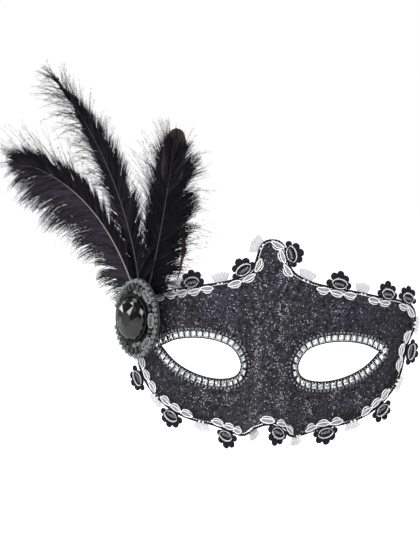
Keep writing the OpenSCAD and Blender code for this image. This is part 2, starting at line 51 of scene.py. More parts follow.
az, el, roll = (math.radians(a) for a in (view_azimuth, view_elevation, view_roll))
right = Vector((math.cos(az), math.sin(az), 0))
back = Vector((math.sin(az) * math.cos(el), -math.cos(az) * math.cos(el), math.sin(el)))
up = back.cross(right)
rolled_right = right * math.cos(roll) + up * math.sin(roll)
rolled_up = up * math.cos(roll) - right * math.sin(roll)
camera_data = bpy.data.cameras.new("studio_camera")
camera_data.sensor_width = 36
camera_data.lens = camera_data.sensor_width * view_distance / view_height
camera_data.clip_start, camera_data.clip_end = 0.05, 30
camera = bpy.data.objects.new("studio_camera", camera_data)
bpy.context.collection.objects.link(camera)
camera_place = seat_point + right * aim_right + up * aim_up + back * view_distance
camera.matrix_world = Matrix.Translation(camera_place) @ Matrix(
    (rolled_right, rolled_up, back)
).transposed().to_4x4()
bpy.context.scene.camera = camera
bpy.context.scene.view_settings.view_transform = "Standard"


def soft_box(name, place, size, watts):
    lamp = bpy.data.lights.new(name, "AREA")
    lamp.shape = "RECTANGLE"
    lamp.size, lamp.size_y = size
    lamp.energy = watts
    box = bpy.data.objects.new(name, lamp)
    bpy.context.collection.objects.link(box)
    box.location = place
    aim = seat_point + Vector((-0.03, 0, 0.04))
    box.rotation_euler = (aim - box.location).to_track_quat("-Z", "Y").to_euler()
    return box


soft_box("soft_box_left", Vector((-0.75, -0.9, 0.75)), (0.5, 0.7), 13)
soft_box("soft_box_right", Vector((0.8, -0.85, 0.6)), (0.45, 0.7), 8)
soft_box("top_light", Vector((0.0, 0.1, 1.3)), (1.2, 0.9), 11)
soft_box("side_strip", Vector((-1.2, 0.26, 0.37)), (0.3, 0.5), 5)


def to_linear(code, alpha=1.0):
    parts = [int(code[i : i + 2], 16) / 255 for i in (1, 3, 5)]
    return (*[c / 12.92 if c <= 0.04045 else ((c + 0.055) / 1.055) ** 2.4 for c in parts], alpha)


def put(tree, kind, inputs=None, **settings):
    made = tree.nodes.new(kind)
    for key, value in settings.items():
        setattr(made, key, value)
    for key, value in (inputs or {}).items():
        if isinstance(value, bpy.types.NodeSocket):
            tree.links.new(value, made.inputs[key])
        else:
            made.inputs[key].default_value = value
    return made


def noise(tree, scale, detail, **more):
    return put(tree, "ShaderNodeTexNoise", {"Scale": scale, "Detail": detail, **more})


def colour_mix(tree, share, low, high, **settings):
    return put(tree, "ShaderNodeMix", {0: share, 6: low, 7: high}, data_type="RGBA", **settings)


def bump(tree, strength, distance, height):
    inputs = {"Strength": strength, "Distance": distance, "Height": height}
    return put(tree, "ShaderNodeBump", inputs)


# The walls are white to the eye, and dimmer in front than behind, so dark pieces stay dark.
world = bpy.data.worlds.new("studio_walls")
bpy.context.scene.world = world
world.use_nodes = True
walls = world.node_tree
walls.nodes.clear()
wall_way = put(walls, "ShaderNodeTexCoord").outputs["Generated"]
wall_y = put(walls, "ShaderNodeSeparateXYZ", {0: wall_way}).outputs["Y"]
wall_light = put(
    walls,
    "ShaderNodeMapRange",
    {"Value": wall_y, "From Min": -0.3, "From Max": 0.8, "To Min": 0.24, "To Max": 0.7},
)
seen_or_lit = put(walls, "ShaderNodeLightPath").outputs["Is Camera Ray"]
wall_strength = put(
    walls,
    "ShaderNodeMix",
    {0: seen_or_lit, 2: wall_light.outputs["Result"], 3: 1.0},
    data_type="FLOAT",
)
wall_glow = put(
    walls,
    "ShaderNodeBackground",
    {"Color": to_linear("#ffffff"), "Strength": wall_strength.outputs[0]},
)
put(walls, "ShaderNodeOutputWorld", {"Surface": wall_glow.outputs[0]})


def new_material(name, **principled):
    made = bpy.data.materials.new(name)
    made.use_nodes = True
    tree = made.node_tree
    tree.nodes.clear()
    shader = put(tree, "ShaderNodeBsdfPrincipled", principled_inputs(principled))
    put(tree, "ShaderNodeOutputMaterial", {"Surface": shader.outputs[0]})
    return made, tree, shader


def principled_inputs(settings):
    return {key.replace("_", " "): value for key, value in settings.items()}


def new_piece(name, points, faces, materials, face_material=None, smooth=True):
    mesh = bpy.data.meshes.new(name)
    mesh.from_pydata((np.asarray(points) * MM).tolist(), [], [tuple(f) for f in faces])
    for one in materials:
        mesh.materials.append(one)
    if face_material is not None:
        mesh.polygons.foreach_set("material_index", np.asarray(face_material, dtype=np.int32))
    mesh.polygons.foreach_set("use_smooth", np.full(len(mesh.polygons), smooth))
    mesh.update()
    piece = bpy.data.objects.new(name, mesh)
    bpy.context.collection.objects.link(piece)
    return piece


def give_values(piece, name, values):
    piece.data.attributes.new(name, "FLOAT", "POINT").data.foreach_set(
        "value", np.asarray(values, dtype=np.float32)
    )


paper, tree, shader = new_material("seamless_paper", Roughness=0.9, Emission_Color=(1, 1, 1, 1))
seen = put(tree, "ShaderNodeLightPath").outputs["Is Camera Ray"]
paper_glow = put(tree, "ShaderNodeMapRange", {"Value": seen, "To Min": 0.0, "To Max": 0.75})
tree.links.new(paper_glow.outputs["Result"], shader.inputs["Emission Strength"])
grain = noise(tree, 40.0, 3.0)
tint = colour_mix(tree, grain.outputs["Fac"], to_linear("#f7f7f7"), to_linear("#ffffff"))
tree.links.new(tint.outputs[2], shader.inputs["Base Color"])
floor_z, floor_half = -130.0, 3000.0
floor = new_piece(
    "studio_floor",
    [[-floor_half, -floor_half, floor_z], [floor_half, -floor_half, floor_z],
     [floor_half, floor_half, floor_z], [-floor_half, floor_half, floor_z]],
    [(0, 1, 2, 3)],
    [paper],
)

# ---- Moulded shell ----
# The mask's body: 1.2 mm black PVC, vacuum formed over a face, trimmed along its edge and
# round the eyes. It wraps back to the temples and stands out over the nose.
half_w, shell_t = 84.0, 1.2
peak_h, peak_foot, brow_h, temple_h = 70.0, 15.0, 43.0, 31.0
lobe_drop, lobe_x, arch_rise = 39.0, 16.0, 9.5
wrap_depth, nose_depth, peak_lean = 42.0, 32.0, 10.0
eye_w, eye_h, eye_gap, eye_z = 47.0, 23.0, 33.5, 1.8
eye_x = (eye_gap + eye_w) / 2
lace_gap, lace_t = 0.05, 0.4
lace_top = lace_gap + lace_t


def face_depth(x, z):
    nose_out = nose_depth / (1 + np.exp((z + 8) / 16))
    nose_w = 13.5 - 2.5 * np.clip(z / 38, -1, 1)
    lean = np.where(z > 0, peak_lean * (z / peak_h) ** 2, 3 * (z / lobe_drop) ** 2)
    socket = 2.5 * np.exp(-(((np.abs(x) - eye_x) / 26) ** 2) - (z / 16) ** 2)
    wrap = wrap_depth * (np.abs(x) / half_w) ** 2.2
    return wrap - nose_out * np.exp(-((x / nose_w) ** 2)) + socket + lean


def face_slopes(x, z):
    step = 0.5
    return (
        face_depth(x + step, z) - face_depth(x - step, z),
        face_depth(x, z + step) - face_depth(x, z - step),
    )


def steepness(x, z):
    across, upward = face_slopes(x, z)
    return np.sqrt(across**2 + 1 + upward**2)


bridge_y = float(-face_depth(0.0, 0.0) - shell_t * steepness(0.0, 0.0))


def on_face(x, z, rise):
    x, z = np.asarray(x, float), np.asarray(z, float)
    y = face_depth(x, z) + bridge_y - rise * steepness(x, z)
    return np.stack([x, y, z + 0 * y], -1)


def face_normal(x, z):
    across, upward = face_slopes(x, z)
    out = np.stack([across, -1 + 0 * across, upward], -1)
    return out / np.linalg.norm(out, axis=-1, keepdims=True)


def spline(points, steps):
    p = np.array(points, float)
    made = []
    for i in range(1, len(p) - 2):
        a, b, c, d = p[i - 1 : i + 3]
        for t in np.arange(steps) / steps:
            made.append(
                (2 * b + (c - a) * t + (2 * a - 5 * b + 4 * c - d) * t**2
                 + (3 * b - a - 3 * c + d) * t**3) / 2
            )
    return np.array(made + [p[-2]])


def lengths(points):
    return np.concatenate([[0], np.cumsum(np.linalg.norm(np.diff(points, axis=0), axis=1))])


def point_along(points, s_all, s):
    return np.stack([np.interp(s, s_all, points[:, i]) for i in range(points.shape[1])], -1)


def spread(points, start, end, count):
    s_all = lengths(points)
    share = start + (end - start) * np.arange(count) / count
    return point_along(points, s_all, s_all[-1] * share)


arch_z = arch_rise - lobe_drop
half_edge_points = [
    [-0.36 * peak_foot, peak_h - 2.5],
    [0, peak_h],
    [0.36 * peak_foot, peak_h - 2.5],
    [0.62 * peak_foot, peak_h - 14],
    [peak_foot, brow_h + 7],
    [0.31 * half_w, brow_h + 2.5],
    [0.48 * half_w, brow_h - 0.5],
    [0.72 * half_w, 0.55 * brow_h + 0.45 * temple_h],
    [0.965 * half_w, temple_h + 0.5],
    [half_w, temple_h - 11],
    [0.945 * half_w, 0.25 * temple_h],
    [0.9 * half_w, -0.24 * lobe_drop],
    [0.82 * half_w, -0.52 * lobe_drop],
    [0.68 * half_w, -0.76 * lobe_drop],
    [0.535 * half_w, -0.87 * lobe_drop],
    [0.39 * half_w, -0.915 * lobe_drop],
    [lobe_x, -lobe_drop],
    [0.5 * lobe_x, arch_z - 0.35 * arch_rise],
    [0, arch_z],
    [-0.5 * lobe_x, arch_z - 0.35 * arch_rise],
]
eye_shape = [
    [1.6, -0.2], [1, 0.39], [0.62, 0.79], [0.11, 0.98], [-0.4, 0.91], [-0.8, 0.57],
    [-1, -0.15], [-0.88, -0.76], [-0.45, -1], [0.11, -0.84], [0.62, -0.36], [1, 0.39],
    [1.2, 0.9],
]
edge_steps, temple_point = 24, 9
half_edge = spline(half_edge_points, edge_steps)
temple_i = (temple_point - 1) * edge_steps
eye_curve = spline(eye_shape, 24) * [eye_w / 2, eye_h / 2] + [eye_x, eye_z]
n_top, n_mid, n_low, n_rings = 120, 56, 120, 44
n_round = n_top + n_mid + n_low
outer_ring = np.concatenate([
    spread(half_edge[temple_i::-1], 0, 1, n_top),
    spread(np.array([[0, peak_h], [0, arch_z]]), 0, 1, n_mid),
    spread(half_edge[: temple_i - 1 : -1], 0, 1, n_low),
])
eye_ring = np.concatenate([
    spread(eye_curve, 0, 0.37, n_top),
    spread(eye_curve, 0.37, 0.58, n_mid),
    spread(eye_curve, 0.58, 1, n_low),
])
# Rings near the peak swing in towards the middle, so that they stay inside its flanks.
swing = np.clip((outer_ring[:, 1] - brow_h - 3) / 12, 0, 1) * 0.4
guide_ring = (eye_ring + outer_ring) / 2
guide_ring[:, 0] -= swing * (eye_ring[:, 0] - outer_ring[:, 0])
ring_share = np.arange(n_rings + 1)[:, None, None] / n_rings
face_rings = (
    (1 - ring_share) ** 2 * eye_ring
    + 2 * ring_share * (1 - ring_share) * guide_ring
    + ring_share**2 * outer_ring
)


def face_sheet(name, low, high, materials):
    """A closed sheet between two heights, as points and faces; low and high may be functions."""
    points, faces = [], []
    count = (n_rings + 1) * n_round
    for side in (1, -1):
        x, z = side * face_rings[..., 0].ravel(), face_rings[..., 1].ravel()
        for rise in (high, low):
            points.append(on_face(x, z, rise(x, z) if callable(rise) else rise))
    k, j = np.meshgrid(np.arange(n_rings), np.arange(n_round), indexing="ij")
    k, j = k.ravel(), j.ravel()
    j_next = (j + 1) % n_round
    quad = np.stack(
        [k * n_round + j, k * n_round + j_next, (k + 1) * n_round + j_next, (k + 1) * n_round + j],
        -1
    )
    j_all = np.arange(n_round)
    j_all_next = (j_all + 1) % n_round
    seam = (j_all >= n_top) & (j_all < n_top + n_mid)
    for s in (0, 1):
        front, rear = s * 2 * count, (s * 2 + 1) * count
        faces.append((quad if s else quad[:, ::-1]) + front)
        faces.append((quad[:, ::-1] if s else quad) + rear)
        for ring, skip, turn in ((0, np.zeros(n_round, bool), 1), (n_rings, seam, 0)):
            a, b = ring * n_round + j_all[~skip], ring * n_round + j_all_next[~skip]
            rim = np.stack([a + front, b + front, b + rear, a + rear], -1)
            faces.append(rim[:, ::-1] if (s + turn) % 2 else rim)
    piece = new_piece(name, np.concatenate(points), np.concatenate(faces), materials)
    weld = bmesh.new()
    weld.from_mesh(piece.data)
    bmesh.ops.remove_doubles(weld, verts=weld.verts, dist=0.01 * MM)
    bmesh.ops.recalc_face_normals(weld, faces=weld.faces)
    weld.to_mesh(piece.data)
    weld.free()
    return piece


tie_r, tie_x, tie_z = 1.5, half_w - 4.6, temple_h - 11


def punch_tie_holes(piece):
    """Cuts the hole for a tie in each temple, square to the face there."""
    turn = 2 * np.pi * np.arange(32) / 32
    for side in (1, -1):
        out = face_normal(side * tie_x, tie_z)
        across = np.cross(out, [0, 0, 1.0])
        across /= np.linalg.norm(across)
        upward = np.cross(across, out)
        ring = tie_r * (np.cos(turn)[:, None] * across + np.sin(turn)[:, None] * upward)
        centre = on_face(side * tie_x, tie_z, 0)
        ends = np.concatenate([centre - 3 * out + ring, centre + 3 * out + ring])
        walls = [(i, (i + 1) % 32, 32 + (i + 1) % 32, 32 + i) for i in range(32)]
        caps = [tuple(range(31, -1, -1)), tuple(range(32, 64))]
        punch = new_piece("tie_punch", ends, walls + caps, [])
        cut = piece.modifiers.new("tie_hole", "BOOLEAN")
        cut.object, cut.operation, cut.solver = punch, "DIFFERENCE", "EXACT"
        with bpy.context.temp_override(object=piece, active_object=piece, selected_objects=[piece]):
            bpy.ops.object.modifier_apply(modifier=cut.name)
        bpy.data.objects.remove(punch)


# Vacuum-formed PVC: satin black with a fine grain picked up from the mould.
pvc, tree, shader = new_material("black_formed_pvc", Roughness=0.42)
grain = noise(tree, 900.0, 4.0)
cloud = noise(tree, 60.0, 2.0)
shade = colour_mix(tree, cloud.outputs["Fac"], to_linear("#151417"), to_linear("#232226"))
dents = bump(tree, 0.25, 0.0002, grain.outputs["Fac"])
tree.links.new(shade.outputs[2], shader.inputs["Base Color"])
tree.links.new(dents.outputs[0], shader.inputs["Normal"])
shell = face_sheet("formed_shell", -shell_t, 0.0, [pvc])
punch_tie_holes(shell)
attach(shell, "mask")
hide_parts("mask_shell")

# ---- Lace cover ----
# One sheet of black and silver brocade lace, glued over the shell and cut along its edge.
# Its threads carry silver foil in upright sprays of flowers, thickest over the nose.
spray_pitch, spray_drop = 15.0, 17.0


def spray(x, z):
    """From 0 to 1, how much silver the woven sprays put at a point."""
    column = np.round((x - 7.5) / spray_pitch)
    dx = x - 7.5 - column * spray_pitch
    shift = 6.0 * (column % 2)
    row = np.round((z + shift) / spray_drop)
    dz = z + shift - row * spray_drop
    reach = np.hypot(dx, dz * 0.8)
    turn = np.arctan2(dx, dz)
    petals = np.exp(-(((reach - 2.6 - 1.0 * np.cos(5 * turn)) / 0.8) ** 2))
    heart = np.exp(-((reach / 0.9) ** 2))
    stem = 0.7 * np.exp(-(((dx - 0.9 * np.sin(z / 2.3)) / 0.6) ** 2))
    leaves = 0.8 * np.exp(-(((np.abs(dx) - 1.6 - 1.2 * np.cos(z / 1.6)) / 0.6) ** 2)) * (dz < -2)
    return np.clip(petals + heart + stem + leaves, 0, 1)


def clouds(x, z, size, seed):
    """Soft random patches from 0 to 1."""
    rng = np.random.default_rng(seed)
    total = 0
    for wave in range(7):
        angle, phase = rng.uniform(0, 6.28, 2)
        pitch = size * rng.uniform(0.6, 1.5)
        total = total + np.sin((x * np.cos(angle) + z * np.sin(angle)) * 6.28 / pitch + phase)
    return 0.5 + 0.5 * np.tanh(total / 2.2)


def silver_share(x, z):
    middle = np.exp(-((x / 21) ** 2))
    below = np.exp(-(((z + 21) / 9) ** 2)) * (np.abs(x) > 14) * (np.abs(x) < 66)
    above = 0.55 * np.exp(-(((z - 27) / 7) ** 2)) * (np.abs(x) < 62)
    patch = clouds(x, z, 26, 3)
    base = 0.035 + 0.08 * middle + 0.05 * below + 0.07 * (x < -22) * (z > 8)
    return np.clip(base + spray(x, z) * (0.1 + 0.75 * np.maximum(middle, below + above)) * patch,
                   0, 1)


def lace_rise(x, z):
    return lace_top + 0.22 * spray(x, z) + 0.1 * clouds(x, z, 3.1, 8)


def edge_painted_shade(x, z):
    """From 0 to 1, how much painted shade darkens the lace beside the outer edge, towards the
    sides.
    """
    gaps = np.full(x.shape, 99.0)
    for p in half_edge[temple_i - 20 :: 6]:
        gaps = np.minimum(gaps, np.hypot(np.abs(x) - p[0], z - p[1]))
    return np.exp(-((gaps / 5.0) ** 2)) * np.clip((np.abs(x) - 20) / 30, 0, 1)


# Brocade lace: a black rayon net of 1.1 mm cells, with flakes of silver foil on its threads.
# The flakes are 0.75 mm wide, which is a guess.
lace_cloth, tree, shader = new_material("brocade_lace", Roughness=0.65, Specular_IOR_Level=0.1)
place = put(tree, "ShaderNodeTexCoord").outputs["Object"]
net = put(
    tree,
    "ShaderNodeTexVoronoi",
    {"Vector": place, "Scale": 900.0},
    feature="DISTANCE_TO_EDGE",
)
thread = put(
    tree,
    "ShaderNodeMapRange",
    {"Value": net.outputs["Distance"], "From Min": 0.08, "From Max": 0.3, "To Min": 1.0,
     "To Max": 0.0},
)
wander = noise(tree, 420.0, 5.0, Roughness=0.7, Vector=place)
hue = noise(tree, 28.0, 2.0, Vector=place)
yarn = colour_mix(tree, hue.outputs["Fac"], to_linear("#3d3948"), to_linear("#343432"))
cloth = colour_mix(tree, thread.outputs["Result"], to_linear("#030304"), yarn.outputs[2])
mottle = put(
    tree,
    "ShaderNodeMapRange",
    {"Value": wander.outputs["Fac"], "From Min": 0.36, "From Max": 0.66, "To Min": 0.12,
     "To Max": 1.6},
)
cloth_shade = colour_mix(tree, 1.0, cloth.outputs[2], mottle.outputs["Result"],
                         blend_type="MULTIPLY")
flakes = put(tree, "ShaderNodeTexVoronoi", {"Vector": place, "Scale": 1350.0})
flake_pick = put(tree, "ShaderNodeSeparateColor", {0: flakes.outputs["Color"]})
silver = put(tree, "ShaderNodeAttribute", attribute_name="silver").outputs["Fac"]
shown = put(
    tree, "ShaderNodeMath", {0: flake_pick.outputs["Red"], 1: silver}, operation="LESS_THAN"
)
flake_size = put(
    tree,
    "ShaderNodeMapRange",
    {"Value": flakes.outputs["Distance"], "From Min": 0.34, "From Max": 0.5, "To Min": 1.0,
     "To Max": 0.0},
)
flake = put(
    tree, "ShaderNodeMath", {0: shown.outputs[0], 1: flake_size.outputs["Result"]},
    operation="MULTIPLY"
)
foil = colour_mix(tree, flake_pick.outputs["Green"], to_linear("#5f5f68"), to_linear("#c4c4cc"))
full = colour_mix(tree, flake.outputs[0], cloth_shade.outputs[2], foil.outputs[2])
# Painted shade: the lace beside the side edges is darkened to near-black, standing for shade where
# the shell turns back from the light.
dark = put(tree, "ShaderNodeAttribute", attribute_name="painted_edge_shade").outputs["Fac"]
painted_edge_shade = colour_mix(tree, dark, full.outputs[2], to_linear("#0b0b0d"))
shine = put(
    tree, "ShaderNodeMapRange", {"Value": flake.outputs[0], "To Min": 0.62, "To Max": 0.34}
)
relief = put(
    tree, "ShaderNodeMath", {0: thread.outputs["Result"], 1: wander.outputs["Fac"]}, operation="ADD"
)
bumps = bump(tree, 0.6, 0.0004, relief.outputs[0])
tree.links.new(painted_edge_shade.outputs[2], shader.inputs["Base Color"])
tree.links.new(shine.outputs["Result"], shader.inputs["Roughness"])
tree.links.new(bumps.outputs[0], shader.inputs["Normal"])
lace = face_sheet("brocade_lace_sheet", lace_gap, lace_rise, [lace_cloth])
punch_tie_holes(lace)
lace_places = np.empty(len(lace.data.vertices) * 3)
lace.data.vertices.foreach_get("co", lace_places)
lace_places = lace_places.reshape(-1, 3) / MM
give_values(lace, "silver", silver_share(lace_places[:, 0], lace_places[:, 2]))
# Painted shade beside the side edges, at most 0.85.
give_values(lace, "painted_edge_shade", 0.85 * edge_painted_shade(lace_places[:, 0], lace_places[:, 2]))
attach(lace, "mask")
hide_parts("lace_cover")

# ---- Stone braid round the eyes ----
# A narrow woven ribbon glued round each eye, with a chain of square-set stones along its
# middle, a row of silver beads beside the opening and short silver loops on its outer side.
band_gap, band_w, band_base, band_t = 0.6, 4.3, 0.1, 0.5
stone_pitch, stone_w = 4.0, 2.55
eye_s = lengths(eye_curve)


def beside_eye(u, away):
    """Points beside the right eye opening: u runs round it, away leads from its edge."""
    u = np.asarray(u, float)
    point = point_along(eye_curve, eye_s, (u % 1) * eye_s[-1])
    step = 0.012
    along = point_along(eye_curve, eye_s, ((u + step) % 1) * eye_s[-1]) - point_along(
        eye_curve, eye_s, ((u - step) % 1) * eye_s[-1]
    )
    out = np.stack([along[..., 1], -along[..., 0]], -1)
    return point + away * out / np.linalg.norm(out, axis=-1, keepdims=True)


def places_round_eye(away, pitch=None, count=None, rise=0.0):
    """Evenly spaced places along a line round the right eye: origins and three directions."""
    fine = np.arange(385) / 384
    line = beside_eye(fine, away)
    s_all = lengths(on_face(line[:, 0], line[:, 1], lace_top))
    count = count or int(round(s_all[-1] / pitch))
    at = s_all[-1] * np.arange(count) / count
    flat = point_along(line, s_all, at)
    ahead = point_along(line, s_all, (at + 0.6) % s_all[-1])
    behind = point_along(line, s_all, (at - 0.6) % s_all[-1])
    origin = on_face(flat[:, 0], flat[:, 1], lace_top + rise)
    return square_places(
        origin,
        on_face(ahead[:, 0], ahead[:, 1], 0) - on_face(behind[:, 0], behind[:, 1], 0),
        face_normal(flat[:, 0], flat[:, 1]),
    )


def square_places(origin, along, out):
    """Origins with square directions: along, across and out of the face."""
    across = np.cross(out, along)
    across /= np.linalg.norm(across, axis=-1, keepdims=True)
    return origin, np.cross(across, out), across, out


def mirrored(places):
    """The same places on the other half of the mask, still right-handed."""
    flip = np.array([-1.0, 1, 1])
    origin, along, across, out = places
    return origin * flip, -along * flip, across * flip, out * flip


def stamp(shape, places):
    """Copies of a small shape, given as points and faces, at each place."""
    points, faces = np.asarray(shape[0], float), shape[1]
    origin, along, across, out = places
    made = (
        origin[:, None]
        + points[None, :, :1] * along[:, None]
        + points[None, :, 1:2] * across[:, None]
        + points[None, :, 2:] * out[:, None]
    )
    count = len(points)
    moved = [[v + i * count for v in f] for i in range(len(origin)) for f in faces]
    return made.reshape(-1, 3), moved


def joined(*shapes):
    """Several shapes as one list of points and one of faces."""
    points, faces, base = [], [], 0
    for some, their in shapes:
        points.append(np.asarray(some, float))
        faces += [[v + base for v in f] for f in their]
        base += len(some)
    return np.concatenate(points), faces


def turned_rings(profile, sides, across=1.0):
    """A round shape from (radius, height) pairs, closed at both ends."""
    turn = 2 * np.pi * np.arange(sides) / sides
    points = [
        [r * np.cos(t), across * r * np.sin(t), h] for r, h in profile for t in turn
    ]
    rows = len(profile)
    faces = [
        [a * sides + k, a * sides + (k + 1) % sides,
         (a + 1) * sides + (k + 1) % sides, (a + 1) * sides + k]
        for a in range(rows - 1)
        for k in range(sides)
    ]
    faces.append(list(range(sides - 1, -1, -1)))
    faces.append([(rows - 1) * sides + k for k in range(sides)])
    return np.array(points), faces


def ball(radius, height, sides=10, rows=6, across=1.0):
    angles = np.linspace(-0.46, 0.46, rows) * np.pi
    return turned_rings(
        [(radius * math.cos(a), height * math.sin(a)) for a in angles], sides, across
    )


# Foil-backed acrylic: clear cut stones whose mirror back throws the light out of each facet.
crystal, tree, shader = new_material("foiled_crystal", Metallic=0.85, Roughness=0.09, IOR=1.5)
glints = put(tree, "ShaderNodeTexVoronoi", {"Scale": 1500.0})
glint_pick = put(tree, "ShaderNodeSeparateColor", {0: glints.outputs["Color"]})
clear = colour_mix(tree, glint_pick.outputs["Red"], to_linear("#d3d6de"), to_linear("#ffffff"))
tree.links.new(clear.outputs[2], shader.inputs["Base Color"])

# Chromed brass: thin pressed cups with a bright, slightly uneven plating.
chrome, tree, shader = new_material("chromed_brass_cup", Metallic=1.0)
rub = noise(tree, 700.0, 3.0)
plating = colour_mix(tree, rub.outputs["Fac"], to_linear("#9b9da3"), to_linear("#eceef2"))
worn = put(tree, "ShaderNodeMapRange",
           {"Value": rub.outputs["Fac"], "To Min": 0.12, "To Max": 0.34})
tree.links.new(plating.outputs[2], shader.inputs["Base Color"])
tree.links.new(worn.outputs["Result"], shader.inputs["Roughness"])

# Lurex braid: silver foil yarn woven over black cotton, 0.5 mm between threads.
lurex, tree, shader = new_material("lurex_braid", Roughness=0.42, Metallic=0.35)
rows = put(tree, "ShaderNodeTexVoronoi", {"Scale": 1600.0})
row_pick = put(tree, "ShaderNodeSeparateColor", {0: rows.outputs["Color"]})
woven = colour_mix(tree, row_pick.outputs["Red"], to_linear("#4a4a50"), to_linear("#e4e4ea"))
weave = bump(tree, 0.7, 0.0003, rows.outputs["Distance"])
tree.links.new(woven.outputs[2], shader.inputs["Base Color"])
tree.links.new(weave.outputs[0], shader.inputs["Normal"])

# Black cotton: dull soft yarn, a little paler where its fibres stand up.
cotton, tree, shader = new_material("black_cotton_yarn", Roughness=0.85, Specular_IOR_Level=0.25)
fuzz = noise(tree, 1800.0, 4.0)
ply = colour_mix(tree, fuzz.outputs["Fac"], to_linear("#040405"), to_linear("#222126"))
lint = bump(tree, 0.5, 0.0003, fuzz.outputs["Fac"])
tree.links.new(ply.outputs[2], shader.inputs["Base Color"])
tree.links.new(lint.outputs[0], shader.inputs["Normal"])

n_band = 192
band_section = [(0.0, 0.02), (0.0, 0.36), (0.18, 0.5), (0.5, 0.46), (0.82, 0.5), (1.0, 0.36),
                (1.0, 0.02)]


def eye_ribbon():
    u = np.arange(n_band) / n_band
    rings = []
    for across, rise in band_section:
        line = beside_eye(u, band_gap + band_w * across)
        wave = 0.05 * np.sin(u * 2 * np.pi * 86) if 0 < across < 1 else 0
        rings.append(on_face(line[:, 0], line[:, 1], lace_top + band_base + rise + wave))
    points = np.stack(rings, 1).reshape(-1, 3)
    n = len(band_section)
    faces = [
        [i * n + k, ((i + 1) % n_band) * n + k, ((i + 1) % n_band) * n + (k + 1) % n,
         i * n + (k + 1) % n]
        for i in range(n_band)
        for k in range(n)
    ]
    return points, faces


def square_cup():
    """A square cup with four claws bent over the stone's corners."""
    half, wall = stone_w / 2 + 0.3, 0.24
    inner = half - wall
    corners = [(1, 1), (-1, 1), (-1, -1), (1, -1)]
    points, faces = [], []
    for size, height in ((half * 0.86, 0.0), (half, 0.35), (half, 0.95), (inner, 0.95),
                         (inner, 0.3)):
        points += [[x * size, y * size, height] for x, y in corners]
    for ring in range(4):
        for k in range(4):
            a, b = ring * 4 + k, ring * 4 + (k + 1) % 4
            faces.append([a, b, b + 4, a + 4])
    faces += [[3, 2, 1, 0], [16, 17, 18, 19]]
    shapes = [(np.array(points), faces)]
    for x, y in corners:
        claw = ball(0.3, 0.26, 6, 4)
        shapes.append((claw[0] + [x * inner * 0.93, y * inner * 0.93, 1.12], claw[1]))
    return joined(*shapes)


def square_stone():
    """A square cut stone: girdle, eight crown facets and a table."""
    half = stone_w / 2 - 0.03
    girdle = [(1, 1), (0, 1), (-1, 1), (-1, 0), (-1, -1), (0, -1), (1, -1), (1, 0)]
    points = [[x * half, y * half, 0.55] for x, y in girdle]
    points += [[x * half, y * half, 0.8] for x, y in girdle]
    table = [0.62 if x * y == 0 else 0.4 for x, y in girdle]
    points += [[x * half * t, y * half * t, 1.42] for (x, y), t in zip(girdle, table)]
    faces = [[7, 6, 5, 4, 3, 2, 1, 0], list(range(16, 24))]
    for ring in (0, 8):
        faces += [[ring + k, ring + (k + 1) % 8, ring + 8 + (k + 1) % 8,
                   ring + 8 + k] for k in range(8)]
    return np.array(points), faces


def silver_loop():
    """A short loop of silver yarn that stands out from the ribbon's outer side."""
    turn = np.linspace(-0.15, 1.15, 9) * np.pi
    path = np.stack([0.42 * np.cos(turn), -0.95 * np.sin(turn) - 0.1, 0.12 * np.sin(turn)], -1)
    return tube(path, 0.2, 5)


def tube(path, radius, sides, closed=False):
    """A round tube along a path; radius is one number or one for each point."""
    path = np.asarray(path, float)
    count = len(path)
    if closed:
        ahead, behind = np.roll(path, -1, 0), np.roll(path, 1, 0)
    else:
        ahead = path[np.minimum(np.arange(count) + 1, count - 1)]
        behind = path[np.maximum(np.arange(count) - 1, 0)]
    way = ahead - behind
    way /= np.linalg.norm(way, axis=1, keepdims=True) + 1e-12
    side = np.cross(way, [0.05, 0.12, 1.0])
    side /= np.linalg.norm(side, axis=1, keepdims=True) + 1e-12
    lift = np.cross(side, way)
    turn = 2 * np.pi * np.arange(sides) / sides
    radius = np.broadcast_to(np.asarray(radius, float), (count,))
    ring = np.cos(turn)[None, :, None] * side[:, None] + np.sin(turn)[None, :, None] * lift[:, None]
    points = (path[:, None] + radius[:, None, None] * ring).reshape(-1, 3)
    faces = []
    for i in range(count if closed else count - 1):
        j = (i + 1) % count
        for k in range(sides):
            m = (k + 1) % sides
            faces.append([i * sides + k, i * sides + m, j * sides + m, j * sides + k])
    if not closed:
        faces.append(list(range(sides - 1, -1, -1)))
        faces.append([(count - 1) * sides + k for k in range(sides)])
    return points, faces


stone_line = places_round_eye(band_gap + band_w / 2, pitch=stone_pitch, rise=band_base + band_t)
n_stones = len(stone_line[0])
bead_line = places_round_eye(band_gap + 0.45, count=2 * n_stones - 8, rise=band_base + band_t)
loop_line = places_round_eye(band_gap + band_w - 0.1, count=2 * n_stones - 4, rise=band_base + 0.3)
for side_name, flip in (("left", mirrored), ("right", lambda places: places)):
    ribbon_points, ribbon_faces = eye_ribbon()
    if side_name == "left":
        ribbon_points = ribbon_points * [-1, 1, 1]
        ribbon_faces = [f[::-1] for f in ribbon_faces]
    beads = stamp(ball(0.44, 0.4, 8, 5), flip(bead_line))
    loops = stamp(silver_loop(), flip(loop_line))
    ribbon = new_piece(
        f"eye_braid_{side_name}",
        *joined((ribbon_points, ribbon_faces), loops, beads),
        [lurex, cotton, chrome],
        [1] * len(ribbon_faces) + [0] * len(loops[1]) + [2] * len(beads[1]),
    )
    cups = new_piece(f"stone_cups_{side_name}", *stamp(square_cup(), flip(stone_line)), [chrome],
                     smooth=False)
    stones = new_piece(f"cut_stones_{side_name}", *stamp(square_stone(), flip(stone_line)),
                       [crystal], smooth=False)
    for piece, node, slot in (
        (ribbon, f"eye_band_{side_name}", "trim_band"),
        (cups, f"eye_cups_{side_name}", "stone_cups"),
        (stones, f"eye_stones_{side_name}", "stones"),
    ):
        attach(piece, "mask")
        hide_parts(node)

